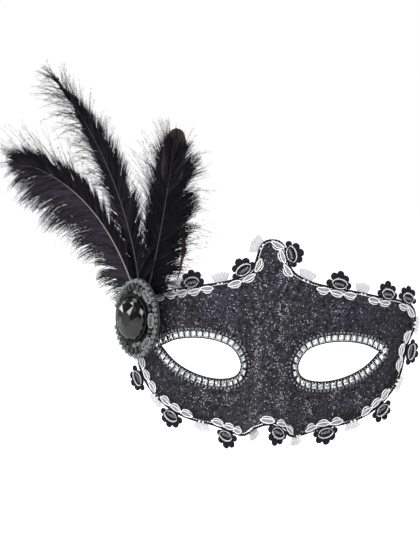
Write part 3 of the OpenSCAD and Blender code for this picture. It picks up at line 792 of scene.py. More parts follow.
# ---- Gimp cord along the edge ----
# Two plies of black cotton gimp, 1.8 mm thick together, sewn all round the cut edge of the
# lace so that the shell's raw edge doesn't show.
cord_d, cord_drop, cord_gap = 1.8, 0.55, 0.12
half_edge_s = lengths(on_face(half_edge[:, 0], half_edge[:, 1], lace_top))
edge_len = half_edge_s[-1]


def edge_2d(s):
    s = np.asarray(s, float)
    past = (s < 0) | (s > edge_len)
    folded = np.where(s < 0, -s, np.where(s > edge_len, 2 * edge_len - s, s))
    point = point_along(half_edge, half_edge_s, folded)
    point[..., 0] = np.where(past, -point[..., 0], point[..., 0])
    return point


def edge_inward(s, inward):
    s = np.asarray(s, float)
    along = edge_2d(s + 0.8) - edge_2d(s - 0.8)
    along /= np.linalg.norm(along, axis=-1, keepdims=True)
    return edge_2d(s) + inward * np.stack([along[..., 1], -along[..., 0]], -1)


def edge_places(s, inward, rise):
    """Places on the edge: s runs from the peak, positive to the right and negative to the left."""
    s = np.atleast_1d(np.asarray(s, float))
    s = np.where(s > edge_len, s - 2 * edge_len, s)
    s_on = np.abs(s)
    flat, ahead, behind = (edge_inward(v, inward) for v in (s_on, s_on + 0.8, s_on - 0.8))
    made = square_places(
        on_face(flat[:, 0], flat[:, 1], lace_top + rise),
        on_face(ahead[:, 0], ahead[:, 1], rise) - on_face(behind[:, 0], behind[:, 1], rise),
        face_normal(flat[:, 0], flat[:, 1]),
    )
    other = mirrored(made)
    left = (s < 0)[:, None]
    return tuple(np.where(left, b, a) for a, b in zip(made, other))


n_cord = 620
cord_half = edge_places(np.linspace(0, edge_len, n_cord + 1), -cord_d / 2 - cord_gap, -cord_drop)
cord_other = mirrored(cord_half)
cord_line, cord_across, cord_out = (
    np.concatenate([a[:-1], b[:0:-1]]) for a,
    b in ((cord_half[i], cord_other[i]) for i in (0, 2, 3))
)
cord_turns = 170
ply_turn = 2 * np.pi * cord_turns * np.arange(len(cord_line)) / len(cord_line)
plies = []
for start in (0, np.pi):
    offset = np.cos(ply_turn + start)[:, None] * cord_across + np.sin(ply_turn + start)[:,
        None] * cord_out
    plies.append(tube(cord_line + 0.4 * offset, 0.47, 6, closed=True))
gimp = new_piece("edge_gimp_cord", *joined(*plies), [cotton])
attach(gimp, "mask")
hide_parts("edge_cord")

# ---- Crocheted flowers on the edge ----
# Fifteen flowers of black crochet sewn over the cord: a knitted oval with five round petals,
# and an arc of silver yarn over the oval's outer side.
flower_w, flower_h, petal_d = 9.0, 5.2, 4.0
flower_out, flower_rise = 3.4, 0.65
flower_share = [
    -0.86, -0.715, -0.6, -0.485, -0.325, -0.23, -0.1,
    0.046, 0.2, 0.33, 0.392, 0.523, 0.67, 0.815, 0.968,
]
flower_s = [share * edge_len for share in flower_share]
petals = [
    (0, flower_h / 2 + 0.75 * petal_d, 1.0),
    (0.43 * flower_w, flower_h / 2 + 0.3 * petal_d, 1.0),
    (-0.43 * flower_w, flower_h / 2 + 0.3 * petal_d, 1.0),
    (0.66 * flower_w, 0, 0.85),
    (-0.66 * flower_w, 0, 0.85),
]


def loop_path(w, h, height, count, start=0.0, end=2 * np.pi, wave=0.0, waves=0):
    turn = np.linspace(start, end, count, endpoint=end - start < 6.28)
    lift = wave * np.cos(waves * turn)
    return np.stack(
        [(w / 2 + lift) * np.cos(turn), (h / 2 + lift) * np.sin(turn), height + 0 * turn], -1
    )


def crochet_flower(rng):
    """The black yarn of one flower: petals as coils on domes, and knitted rows in the oval."""
    shapes = []
    for x, y, size in petals:
        size *= rng.uniform(1.12, 1.28)
        middle = np.array([x + rng.uniform(-0.35, 0.35), y + rng.uniform(-0.3, 0.3),
                           rng.uniform(-0.1, 0.25)])
        dome = turned_rings([(1.5 * size, 0.1), (1.9 * size, 0.45), (1.4 * size, 1.15),
                             (0.5 * size, 1.5)], 14)
        shapes.append((dome[0] + middle, dome[1]))
        for radius, height, thick in ((1.62, 0.75, 0.36), (1.08, 1.25, 0.34), (0.5, 1.5, 0.32)):
            coil = loop_path(2 * radius * size, 2 * radius * size, height, 14, wave=0.07, waves=7)
            ring = tube(coil, thick * size, 5, closed=True)
            shapes.append((ring[0] + middle, ring[1]))
    base = turned_rings([(flower_w / 2 + 0.6, 0.15), (flower_w / 2 + 0.6, 0.6),
                         (flower_w / 2 - 0.6, 0.9)], 26, across=(flower_h + 1.2) / (flower_w + 1.2))
    shapes.append(base)
    for w, h, height, thick in (
        (flower_w + 0.7, flower_h + 0.7, 0.85, 0.45),
        (flower_w - 1.6, flower_h - 1.5, 1.05, 0.42),
        (flower_w - 4.2, flower_h - 3.6, 1.15, 0.4),
    ):
        row = loop_path(w, h, height, 40, wave=0.1, waves=20)
        shapes.append(tube(row, thick, 5, closed=True))
    return joined(*shapes)


def silver_arc():
    """Two twisted plies of silver yarn over the outer half of the oval, and one thin inner line."""
    shapes = []
    core = loop_path(flower_w + 0.6, flower_h + 0.9, 1.75, 44, 0.02 * np.pi, 0.98 * np.pi)
    turn = np.linspace(0, 9 * 2 * np.pi, 44)
    for start in (0, np.pi):
        offset = np.stack([0 * turn, 0.26 * np.cos(turn + start), 0.26 * np.sin(turn + start)], -1)
        shapes.append(tube(core + offset, 0.3, 5))
    inner = loop_path(flower_w - 0.6, flower_h - 0.2, 1.65, 26, -0.96 * np.pi, -0.04 * np.pi)
    shapes.append(tube(inner, 0.28, 5))
    for x in np.arange(-2.6, 2.7, 0.87):
        half = 0.32 * (flower_h - 1.6) * math.sqrt(1 - (x / 4.2) ** 2)
        across = np.array([[x - 0.25, -half, 1.25], [x, 0, 1.5], [x + 0.25, half, 1.25]])
        shapes.append(tube(across, 0.15, 5))
    return joined(*shapes)


# Silver lurex yarn: polyester foil wound round a core, bright with a grey side.
silver_yarn, tree, shader = new_material("silver_lurex_yarn", Metallic=0.75)
wound = noise(tree, 1500.0, 3.0)
foil_side = colour_mix(tree, wound.outputs["Fac"], to_linear("#77787d"), to_linear("#f6f6fa"))
dull = put(tree, "ShaderNodeMapRange",
           {"Value": wound.outputs["Fac"], "To Min": 0.25, "To Max": 0.5})
tree.links.new(foil_side.outputs[2], shader.inputs["Base Color"])
tree.links.new(dull.outputs["Result"], shader.inputs["Roughness"])

for number, s in enumerate(flower_s, start=1):
    rng = np.random.default_rng(100 + number)
    here = edge_places(s, -flower_out, flower_rise)
    yarn_work, arc = stamp(crochet_flower(rng), here), stamp(silver_arc(), here)
    flower = new_piece(
        f"crochet_flower_{number:02d}",
        *joined(yarn_work, arc),
        [cotton, silver_yarn],
        [0] * len(yarn_work[1]) + [1] * len(arc[1]),
    )
    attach(flower, "mask")
    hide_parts(f"flower_{number:02d}")

# ---- White leaves on the edge ----
# Satin-stitched leaves of white rayon inside each flower and on both sides of it, each
# padded and outlined with a fine black thread, lying on the lace along the edge.
leaf_w, leaf_rise, leaf_step = 6.6, 0.45, 1.28 * 6.6


def satin_leaf(w, h, thick):
    """A padded leaf of parallel stitches, as a closed dome."""
    n_along, n_across = 34, 8
    points, faces = [], []
    for i in range(n_along + 1):
        share = i / n_along
        half = h / 2 * math.sin(math.pi * min(0.98, max(0.02, share))) ** 0.75
        stitch = 0.07 * math.cos(math.pi * i)
        for k in range(n_across + 1):
            turn = math.pi * k / n_across
            points.append([
                w * (share - 0.5) + 0.25 * math.cos(turn),
                half * math.cos(turn),
                0.12 + (thick + stitch) * math.sin(turn) ** 0.7,
            ])
    row = n_across + 1
    for i in range(n_along):
        faces += [[a, a + row, a + row + 1, a + 1] for a in range(i * row, i * row + n_across)]
        faces.append([i * row + n_across, (i + 1) * row + n_across, (i + 1) * row, i * row])
    faces.append(list(range(row)))
    faces.append([n_along * row + k for k in range(n_across, -1, -1)])
    return np.array(points), faces


def leaf_line(w, h, height, start, end, rng):
    """Part of a leaf's outline, drawn a little unevenly."""
    turn = np.linspace(start, end, 30)
    uneven = 1 + 0.05 * np.sin(3 * turn + rng.uniform(0, 6.28))
    y = h / 2 * np.sign(np.sin(turn)) * np.abs(np.sin(turn)) ** 1.1
    return np.stack([w / 2 * np.cos(turn) * uneven, y * uneven, height + 0.15 * np.sin(5 * turn)],
                    -1)


def tilted(shape, angle):
    c, sn = math.cos(angle), math.sin(angle)
    return shape[0] @ np.array([[c, sn, 0], [-sn, c, 0], [0, 0, 1]]), shape[1]


# Rayon satin stitch: white parallel threads 0.3 mm apart with a soft gloss and grey hollows.
rayon, tree, shader = new_material("white_rayon_stitch", Roughness=0.42, Sheen_Weight=0.1)
floss = noise(tree, 1400.0, 4.0)
white = colour_mix(tree, floss.outputs["Fac"], to_linear("#e0e0e6"), to_linear("#ffffff"))
ridges = bump(tree, 0.5, 0.0002, floss.outputs["Fac"])
tree.links.new(white.outputs[2], shader.inputs["Base Color"])
tree.links.new(ridges.outputs[0], shader.inputs["Normal"])

# The filling of a leaf: the same stitch over black net, so greyer and more broken.
rayon_shaded, tree, shader = new_material("rayon_over_black_net", Roughness=0.5)
floss = noise(tree, 1100.0, 5.0, Roughness=0.8)
shaded = put(tree, "ShaderNodeValToRGB", {"Fac": floss.outputs["Fac"]})
shaded.color_ramp.elements[0].color = to_linear("#232327")
shaded.color_ramp.elements[0].position = 0.44
shaded.color_ramp.elements[1].color = to_linear("#f2f2f6")
shaded.color_ramp.elements[1].position = 0.68
tree.links.new(shaded.outputs["Color"], shader.inputs["Base Color"])


def gap_after(i):
    nxt = flower_s[0] + 2 * edge_len if i == len(flower_s) - 1 else flower_s[i + 1]
    return nxt - flower_s[i]


def room_beside(i, side):
    return gap_after(i if side > 0 else (i - 1) % len(flower_s)) > 2 * leaf_step + leaf_w


for number, s in enumerate(flower_s, start=1):
    rng = np.random.default_rng(200 + number)
    spots = [(s, 1.75, leaf_w + 1.6, 2.2)]
    for side in (1, -1):
        if room_beside(number - 1, side):
            spots.append((s + side * leaf_step, 1.45, leaf_w + 1.3, 2.6))
    white_work, grey_work, black_work = [], [], []
    for at, inward, w, h in spots:
        here = edge_places(at, inward - 0.35, leaf_rise - 0.35)
        lean = rng.uniform(-0.12, 0.12)
        rim = tube(leaf_line(w, h, 0.55, 0, 2 * np.pi, rng), 0.4, 6)
        under = tube(leaf_line(w * 0.9, h + 2.4, 0.3, -0.84 * np.pi, -0.16 * np.pi, rng), 0.34, 6)
        gap = tube(leaf_line(w * 0.96, h + 1.2, 0.5, -0.9 * np.pi, -0.1 * np.pi, rng), 0.3, 5)
        over = tube(leaf_line(w * 1.04, h + 1.3, 0.45, 0.06 * np.pi, 0.94 * np.pi, rng), 0.36, 5)
        white_work += [stamp(tilted(part, lean), here) for part in (rim, under)]
        grey_work.append(stamp(tilted(satin_leaf(w - 1.2, h - 0.9, 0.8), lean), here))
        black_work += [stamp(tilted(part, lean), here) for part in (gap, over)]
    white_work, grey_work, black_work = joined(*white_work), joined(*grey_work), joined(*black_work)
    leaves = new_piece(
        f"satin_leaves_{number:02d}",
        *joined(white_work, grey_work, black_work),
        [rayon, rayon_shaded, cotton],
        [0] * len(white_work[1]) + [1] * len(grey_work[1]) + [2] * len(black_work[1]),
    )
    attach(leaves, "mask")
    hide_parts(f"leaves_{number:02d}")

# ---- Stitches and tulle between the flowers ----
# Between two flowers the cord is held by two fat white stitches, and a gathered tuft of
# sheer tulle, folded double, stands out from behind it.
gap_s = [
    flower_s[i] + gap_after(i) / 2 for i in range(len(flower_s)) if room_beside(i, 1)
]
stitch_shape = turned_rings(
    [(0.2, 0.05), (0.62, 0.2), (0.66, 0.7), (0.62, 1.1), (0.2, 1.3)], 10, across=0.85
)
stitch_spots = [s + step for s in gap_s for step in (-1.2, 1.2)]
stitches = new_piece(
    "white_stitches",
    *stamp(stitch_shape, edge_places(stitch_spots, -0.6, flower_rise - 0.1)),
    [rayon],
)
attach(stitches, "mask")
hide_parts("stitch_beads")

fan_w, fan_h = 11.6, 6.8

# Nylon tulle: a sheer net, so most of the light passes, with pale threads where it bunches.
tulle, tree, shader = new_material("sheer_nylon_tulle", Roughness=0.6, Alpha=0.55)
bunch = noise(tree, 1100.0, 4.0)
mist = colour_mix(tree, bunch.outputs["Fac"], to_linear("#84848c"), to_linear("#f0f0f4"))
tree.links.new(mist.outputs[2], shader.inputs["Base Color"])


def tulle_tuft(rng):
    """A tuft of tulle folded double: two pleated layers that meet along the fold."""
    n_u, n_v = 46, 6
    points, faces = [], []
    pleats = rng.uniform(5.5, 7.5)
    phase = rng.uniform(0, 6.28)
    for v in range(2 * n_v + 1):
        out = 1 - abs(v - n_v) / n_v
        layer = -0.35 if v <= n_v else 0.0
        for u in range(n_u + 1):
            across = u / n_u - 0.5
            fan = 0.56 + 0.44 * out
            wave = math.sin(2 * math.pi * pleats * u / n_u + phase + 0.5 * math.sin(9 * across))
            edge = 0.86 + 0.14 * abs(math.cos(math.pi * pleats * u / n_u + phase))
            points.append([
                fan_w * across * fan + 0.12 * wave * out,
                0.3 + fan_h * out * edge * (1 - 0.9 * across * across),
                -0.55 + layer + (0.18 + 0.32 * out) * wave,
            ])
    row = n_u + 1
    for v in range(2 * n_v):
        for u in range(n_u):
            a = v * row + u
            faces.append([a, a + 1, a + row + 1, a + row])
    return np.array(points), faces


for number, s in enumerate(gap_s, start=1):
    rng = np.random.default_rng(300 + number)
    tuft = new_piece(
        f"tulle_tuft_{number:02d}",
        *stamp(tulle_tuft(rng), edge_places(s, -0.4, -cord_drop - cord_d / 2 - 0.3)),
        [tulle],
    )
    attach(tuft, "mask")
    if number == 1:
        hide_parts("tulle_fans")

# ---- Jewel's backing and pad ----
# The jewel is built on an oval of stiffened felt, held off the temple by a felt pad cut to
# the slant of the face there. It is turned a third of a right angle away from the front.
jewel_turn = math.radians(33)
jewel_at = on_face(-0.857 * half_w, 0.72 * temple_h, lace_top)
jewel_along = np.array([math.cos(jewel_turn), -math.sin(jewel_turn), 0])
jewel_up = np.array([0, 0, 1.0])
jewel_out = np.array([-math.sin(jewel_turn), -math.cos(jewel_turn), 0])
layer_first, layer_step = 5.3, 1.9
plate_out = layer_first + 2.5 * layer_step + 0.6
plate_t, rosette_w, rosette_h = 1.1, 32.0, 47.0


def jewel_place(p=0.0, q=0.0, out=0.0, turn=0.0):
    """One place on the jewel: p towards the nose, q up and out away from the temple."""
    origin = jewel_at + p * jewel_along + q * jewel_up + out * jewel_out
    along = math.cos(turn) * jewel_along + math.sin(turn) * jewel_up
    across = -math.sin(turn) * jewel_along + math.cos(turn) * jewel_up
    return origin[None], along[None], across[None], jewel_out[None]


# Wool felt: matted black fibres, dull, with a mottle a few fibres wide.
felt, tree, shader = new_material("black_wool_felt", Roughness=0.95, Sheen_Weight=0.3)
mat_fibre = noise(tree, 900.0, 6.0, Roughness=0.75)
felted = colour_mix(tree, mat_fibre.outputs["Fac"], to_linear("#08080a"), to_linear("#2f2f33"))
nap = bump(tree, 0.8, 0.0003, mat_fibre.outputs["Fac"])
tree.links.new(felted.outputs[2], shader.inputs["Base Color"])
tree.links.new(nap.outputs[0], shader.inputs["Normal"])

plate_shape = turned_rings(
    [(rosette_w / 2 - 0.25, 0), (rosette_w / 2, 0.25), (rosette_w / 2, plate_t - 0.25),
     (rosette_w / 2 - 0.25, plate_t)],
    96,
    across=rosette_h / rosette_w,
)
stitch_ring = []
for turn in 2 * np.pi * np.arange(64) / 64:
    at = [(rosette_w / 2 - 1.1) * math.cos(turn), (rosette_h / 2 - 1.1) * math.sin(turn)]
    thread_path = np.array([[-0.7, 0, 0.02], [-0.35, 0, -0.16], [0.35, 0, -0.16], [0.7, 0, 0.02]])
    stitch_ring.append(stamp(tube(thread_path, 0.14, 5),
                             jewel_place(at[0], at[1], plate_out, turn + np.pi / 2)))
backing = new_piece(
    "jewel_backing",
    *joined(stamp(plate_shape, jewel_place(out=plate_out)), *stitch_ring),
    [felt, cotton],
    [0] * len(plate_shape[1]) + [1] * sum(len(s[1]) for s in stitch_ring),
)
pad_p, pad_q, pad_d = -1.0, -9.0, 13.0
pad_x, pad_z = -0.857 * half_w + pad_p * math.cos(jewel_turn), 0.72 * temple_h + pad_q
turn = 2 * np.pi * np.arange(48) / 48
pad_top = jewel_place(pad_p, pad_q, plate_out - 0.05)
pad_foot_out = face_normal(pad_x, pad_z)[None]
pad_foot = square_places(on_face(pad_x, pad_z, lace_top + 0.15)[None], jewel_along[None],
                         pad_foot_out)
pad_points = []
for share in (0, 0.04, 0.3, 0.6, 0.96, 1.0):
    pinch = 1 - 0.05 * math.sin(math.pi * share) - (0.05 if share in (0, 1.0) else 0)
    for t in turn:
        low, high = (
            spot[0][0] + pad_d / 2 * pinch * (math.cos(t) * spot[1][0] + math.sin(t) * spot[2][0])
            for spot in (pad_foot, pad_top)
        )
        pad_points.append(low + (high - low) * share)
pad_faces = turned_rings([(1, h) for h in range(6)], 48)[1]
pad = new_piece("felt_pad", np.array(pad_points), pad_faces, [felt])
for piece, cad_node, slot in ((backing, "jewel_plate", "jewel_plate"), (pad, "jewel_pad", "pad")):
    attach(piece, "mask")
    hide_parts(cad_node)

# ---- Rows of beads and gimp leaves on the jewel ----
# Rows of metallised glass beads sewn in ovals round the stone, grey-green outside, black in
# the middle and grey-green inside, with three loops of metallic gimp over them.
bead_d, bead_gap = 3.1, 0.06
bead_out = plate_out + plate_t + 0.02 + bead_d / 2
gem_p, gem_w, gem_h, cup_rim = -2.2, 20.0, 26.0, 1.0

# Metallised glass: thin grey-green metal on small beads, in random near-black patches and painted
# glints in near-white ones.
bead_metal, tree, shader = new_material("metallised_glass_bead", Metallic=0.8, Roughness=0.3)
blush = noise(tree, 480.0, 3.0)
bead_metal_and_painted_glints = put(tree, "ShaderNodeValToRGB", {"Fac": blush.outputs["Fac"]})
bead_metal_and_painted_glints.color_ramp.elements[0].color = to_linear("#0c0f0f")
bead_metal_and_painted_glints.color_ramp.elements[0].position = 0.36
bead_metal_and_painted_glints.color_ramp.elements[1].color = to_linear("#b3bbba")
bead_metal_and_painted_glints.color_ramp.elements[1].position = 0.66
tree.links.new(bead_metal_and_painted_glints.outputs["Color"], shader.inputs["Base Color"])

# Jet glass: pressed black beads with a hard gloss and a faint oily bloom.
jet, tree, shader = new_material("jet_glass_bead", Roughness=0.14)
bloom = noise(tree, 300.0, 3.0)
oily = colour_mix(tree, bloom.outputs["Fac"], to_linear("#030303"), to_linear("#121615"))
tree.links.new(oily.outputs[2], shader.inputs["Base Color"])


# Metallic gimp: grey-green foil cord wound over a core, with painted glints in random near-white
# patches.
gimp_metal, tree, shader = new_material("grey_green_foil_gimp", Metallic=0.7, Roughness=0.36)
winding = noise(tree, 900.0, 4.0)
foil_and_painted_glints = put(tree, "ShaderNodeValToRGB", {"Fac": winding.outputs["Fac"]})
foil_and_painted_glints.color_ramp.elements[0].color = to_linear("#0b0e0e")
foil_and_painted_glints.color_ramp.elements[0].position = 0.45
foil_and_painted_glints.color_ramp.elements[1].color = to_linear("#d4dad9")
foil_and_painted_glints.color_ramp.elements[1].position = 0.64
tree.links.new(foil_and_painted_glints.outputs["Color"], shader.inputs["Base Color"])


def row_places(row):
    """Places of one row's beads, leaving out those that would meet the stone's cup."""
    w, h = (size - bead_d * (1 + 2 * row) for size in (rosette_w, rosette_h))
    turns = np.linspace(0, 2 * np.pi, 361)
    path = np.stack([w / 2 * np.cos(turns), h / 2 * np.sin(turns)], -1)
    s_all = lengths(path)
    count = int(s_all[-1] / (bead_d + bead_gap))
    found = []
    for i in range(count):
        p, q = point_along(path, s_all, s_all[-1] * i / count)
        inside = ((p - gem_p) / (gem_w / 2 + cup_rim + bead_d / 2 + 0.1)) ** 2
        inside += (q / (gem_h / 2 + cup_rim + bead_d / 2 + 0.1)) ** 2
        if inside > 1:
            found.append((p, q, math.atan2(q / h, p / w)))
    return found


def foil_knot(rng):
    """A small metal bead in a twisted ring of foil cord."""
    size = bead_d / 2 * rng.uniform(0.84, 0.95)
    bead = ball(size * 0.62, size * 0.8, 10, 6)
    ring = loop_path(1.62 * size, 1.62 * size, 0.15, 20, wave=0.1, waves=5)
    lower = loop_path(1.7 * size, 1.7 * size, -0.55, 20, wave=0.1, waves=5)
    under = ball(size * 0.8, size * 0.75, 10, 5)
    body = joined(bead, (under[0] - [0, 0, 0.5], under[1]))
    return body, joined(tube(ring, 0.3, 5, closed=True), tube(lower, 0.28, 5, closed=True))


def jet_barrels(rng):
    """Two pressed barrels side by side, lying across the row, with a thread over them."""
    shapes = []
    for x in (-0.76, 0.76):
        size = rng.uniform(0.94, 1.04)
        barrel = turned_rings(
            [(0.3, -1.35), (0.56, -1.3), (0.7, -0.6), (0.72, 0), (0.7, 0.6), (0.56, 1.3),
             (0.3, 1.35)], 10
        )
        lying = barrel[0][:, [0, 2, 1]] * [size, size, -size]
        shapes.append((lying + [x, 0, rng.uniform(-0.15, 0.2)], barrel[1]))
    over = np.array([[0, -1.5, -0.4], [0, -0.9, 0.35], [0, 0.9, 0.35], [0, 1.5, -0.4]])
    return joined(*shapes), tube(over, 0.18, 5)


for row, (cad_node, finish, sewn) in enumerate((
    ("beads_outer", bead_metal, foil_knot),
    ("beads_middle", jet, jet_barrels),
    ("beads_inner", bead_metal, foil_knot),
)):
    rng = np.random.default_rng(500 + row)
    bead_work, cord_work = [], []
    for p, q, turn in row_places(row):
        here = jewel_place(p, q, bead_out + (0.5 if finish is jet else 0), turn + np.pi / 2)
        bead, cord = sewn(rng)
        bead_work.append(stamp(bead, here))
        cord_work.append(stamp(cord, here))
    bead_work, cord_work = joined(*bead_work), joined(*cord_work)
    beads = new_piece(
        f"jewel_{cad_node}",
        *joined(bead_work, cord_work),
        [finish, gimp_metal],
        [0] * len(bead_work[1]) + [1] * len(cord_work[1]),
    )
    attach(beads, "mask")
    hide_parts(cad_node)

def twisted_loop(w, h, height):
    """A closed leaf-shaped loop of two twisted plies round a smaller one."""
    turn = np.linspace(0, 2 * np.pi, 90, endpoint=False)
    shapes = []
    core = np.stack([w / 2 * np.cos(turn), h / 2 * np.sin(turn), height + 0 * turn], -1)
    outward = np.stack([np.cos(turn), np.sin(turn), 0 * turn], -1)
    for start in (0, np.pi):
        twist = 15 * turn + start
        offset = 0.3 * (np.cos(twist)[:, None] * outward + np.sin(twist)[:, None] * [0, 0, 1.0])
        shapes.append(tube(core + offset, 0.36, 5, closed=True))
    inner = core * [0.55, 0.4, 1]
    shapes.append(tube(inner, 0.34, 5, closed=True))
    return joined(*shapes)


gimp_leaves = []
for degrees in (-42, 0, 42):
    turn = math.radians(degrees)
    p, q = (rosette_w / 2 - bead_d) * math.cos(turn), (rosette_h / 2 - bead_d) * math.sin(turn)
    here = jewel_place(p, q, bead_out + bead_d / 2 - 0.1, np.pi / 2 + 0.9 * turn)
    gimp_leaves.append(stamp(twisted_loop(1.2 * leaf_w, 3.6, 0.5), here))
jewel_gimp = new_piece("jewel_gimp_leaves", *joined(*gimp_leaves), [gimp_metal])
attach(jewel_gimp, "mask")
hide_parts("jewel_leaves")

# ---- Stone and its cup ----
# A big oval stone of black glass, cut with a table and three rows of facets, gripped in an
# antiqued cup by a rim of small teeth.
gem_base, cup_deep = plate_out + plate_t + 0.02, 2.6

# Antiqued brass: darkened cup, brighter where its teeth are rubbed.
dark_brass, tree, shader = new_material("antiqued_dark_cup", Metallic=0.9, Roughness=0.4)
age = noise(tree, 600.0, 4.0)
rubbed = colour_mix(tree, age.outputs["Fac"], to_linear("#0a0b0b"), to_linear("#444b49"))
tree.links.new(rubbed.outputs[2], shader.inputs["Base Color"])

# Black glass: pressed and fire polished, near black inside with a mirror-smooth surface.
black_glass, tree, shader = new_material("polished_black_glass", Roughness=0.05, IOR=1.52)
smoke = noise(tree, 90.0, 2.0)
inside_black = colour_mix(tree, smoke.outputs["Fac"], to_linear("#020202"), to_linear("#08080a"))
tree.links.new(inside_black.outputs[2], shader.inputs["Base Color"])

rim_w, rim_h = gem_w + 2 * cup_rim, gem_h + 2 * cup_rim
oval_share = rim_h / rim_w
cup_shape = turned_rings(
    [(rim_w / 2, 0), (rim_w / 2, cup_deep - 0.4), (rim_w / 2 - 0.25, cup_deep),
     (gem_w / 2 + 0.05, cup_deep),
     (gem_w / 2 + 0.05, 0.6)],
    72,
    across=oval_share,
)
teeth = []
for turn in 2 * np.pi * np.arange(44) / 44:
    at = (rim_w / 2 - 0.4) * math.cos(turn), (rim_h / 2 - 0.4) * math.sin(turn)
    tooth = ball(0.55, 0.5, 8, 5)
    teeth.append(stamp(tooth, jewel_place(gem_p + at[0], at[1], gem_base + cup_deep, turn)))
cup = new_piece("stone_setting",
                *joined(stamp(cup_shape, jewel_place(gem_p, 0, gem_base)), *teeth), [dark_brass])




def cut_gem():
    """Sixteen sides and three rows of lozenge facets, then eight large facets and a table."""
    rows = [(0.9, 0.0, 0.0), (1.0, 1.6, 0.0), (1.0, 2.2, 0.0), (0.94, 3.5, 0.5), (0.86, 4.55, 0.0)]
    rows += [(0.76, 5.4, 0.5)]
    sides = 16
    points = []
    for share, height, shift in rows:
        for k in range(sides):
            turn = 2 * math.pi * (k + shift) / sides
            points.append([gem_w / 2 * share * math.cos(turn), gem_h / 2 * share * math.sin(turn),
                           height])
    faces = [list(range(sides - 1, -1, -1))]
    for row in range(len(rows) - 1):
        lead = rows[row + 1][2] - rows[row][2]
        for k in range(sides):
            a, b = row * sides + k, row * sides + (k + 1) % sides
            c, d = (row + 1) * sides + (k + 1) % sides, (row + 1) * sides + k
            if lead == 0:
                faces.append([a, b, c, d])
            elif lead > 0:
                faces += [[a, b, d], [b, c, d]]
            else:
                faces += [[a, b, c], [a, c, d]]
    # The top: each large facet takes two sides of the last row.
    last, top = (len(rows) - 1) * sides, len(points)
    for k in range(8):
        turn = 2 * math.pi * (2 * k + 1.5) / sides
        points.append([gem_w / 2 * 0.34 * math.cos(turn), gem_h / 2 * 0.34 * math.sin(turn), 7.2])
    for k in range(8):
        a, b, c = (last + (2 * k + i + 1) % sides for i in range(3))
        faces += [[a, b, c, top + (k + 1) % 8, top + k]]
    faces.append([top + k for k in range(8)])
    return np.array(points), faces


gem = new_piece(
    "black_glass_stone", *stamp(cut_gem(), jewel_place(gem_p, 0, gem_base + 0.65)), [black_glass],
    smooth=False
)
for piece, cad_node, slot in ((cup, "jewel_cup", "cup"), (gem, "jewel_stone", "gem")):
    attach(piece, "mask")
    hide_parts(cad_node)

# ---- Thread that holds the feathers ----
# Black thread wound round a shank between the lace and the jewel, through a loop at the
# root of each quill, so that each feather can turn a little in its own layer.
pin_up, pin_foot = 5.0, 0.1
shank_turns = 24
wind = np.linspace(0, 2 * np.pi * shank_turns, shank_turns * 14)
shank_path = np.stack(
    [0.54 * np.cos(wind), 0.54 * np.sin(wind),
     np.linspace(pin_foot + 0.2, plate_out - 0.2, len(wind))], -1
)
shank_core = turned_rings([(0.5, pin_foot), (0.56, pin_foot + 0.3), (0.56, plate_out - 0.3),
                           (0.5, plate_out)], 16)
shank = new_piece(
    "thread_shank",
    *joined(stamp(tube(shank_path, 0.2, 5), jewel_place(0, pin_up)),
            stamp(shank_core, jewel_place(0, pin_up))),
    [cotton],
)
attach(shank, "mask")
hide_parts("feather_stitch")

# ---- Feathers: shared barbs and colours ----
# Three dyed plumes, each lying in its own layer between the lace and the jewel. A plume is a
# quill with soft barbs that cling together in pointed locks and fray into single hairs.
left_curve = np.array([[0, 0], [-25, 69], [-92, 82.0]])
middle_curve = np.array([[0, 0], [-8.5, 80], [-75, 140.0]])
right_curve = np.array([[0, 0], [15, 52], [21, 109.0]])
n_step = 13
hair_limit = 109.0


def bend_at(curve, t):
    t = np.asarray(t, float)[..., None]
    return (1 - t) ** 2 * curve[0] + 2 * t * (1 - t) * curve[1] + t * t * curve[2]


def bend_angle(curve, t):
    ahead = bend_at(curve, np.asarray(t) + 0.01) - bend_at(curve, np.asarray(t) - 0.01)
    return np.arctan2(ahead[..., 1], ahead[..., 0])


def barb_paths(curve, side, t, reach, lean, curl):
    """Barbs in the plume's own layer, as (barb, step, 2): each leaves the quill by its lean
    and turns by its curl, both in degrees away from the tip."""
    u = (np.arange(n_step - 1) + 0.5) / (n_step - 1)
    angle = bend_angle(curve, t) + side * np.radians(lean)
    angle = angle[:, None] + side * np.radians(curl)[:, None] * u
    step = np.stack([np.cos(angle), np.sin(angle)], -1) * (reach / (n_step - 1))[:, None, None]
    root = bend_at(curve, t)[:, None]
    return np.concatenate([root, root + np.cumsum(step, 1)], 1)


def gathered(paths, group, pull):
    """Barbs of one lock drawn together towards the lock's middle barb."""
    u = np.linspace(0, 1, n_step)[None, :, None] ** 1.5
    middle = np.zeros_like(paths)
    for g in np.unique(group):
        own = group == g
        middle[own] = paths[own].mean(0)
    return paths + (middle - paths) * u * pull


def strips(paths, depth, width, spin):
    """Each barb as a flat tapering strip, turned by its spin about its own length."""
    ahead = np.gradient(paths, axis=1)
    ahead /= np.maximum(1e-6, np.linalg.norm(ahead, axis=-1, keepdims=True))
    taper = (1 - np.linspace(0, 1, n_step) ** 2 * 0.85)[None, :] * width[:, None] / 2
    aside = np.stack([-ahead[..., 1], ahead[..., 0]], -1) * (taper * np.cos(spin)[:, None])[...,
        None]
    lift = taper * np.sin(spin)[:, None]
    low = np.concatenate([paths - aside, (depth - lift)[..., None]], -1)
    high = np.concatenate([paths + aside, (depth + lift)[..., None]], -1)
    points = np.stack([low, high], 2).reshape(-1, 3)
    a = 2 * (np.arange(len(paths))[:, None] * n_step + np.arange(n_step - 1)[None, :]).reshape(-1)
    return points, np.stack([a, a + 1, a + 3, a + 2], -1).tolist()


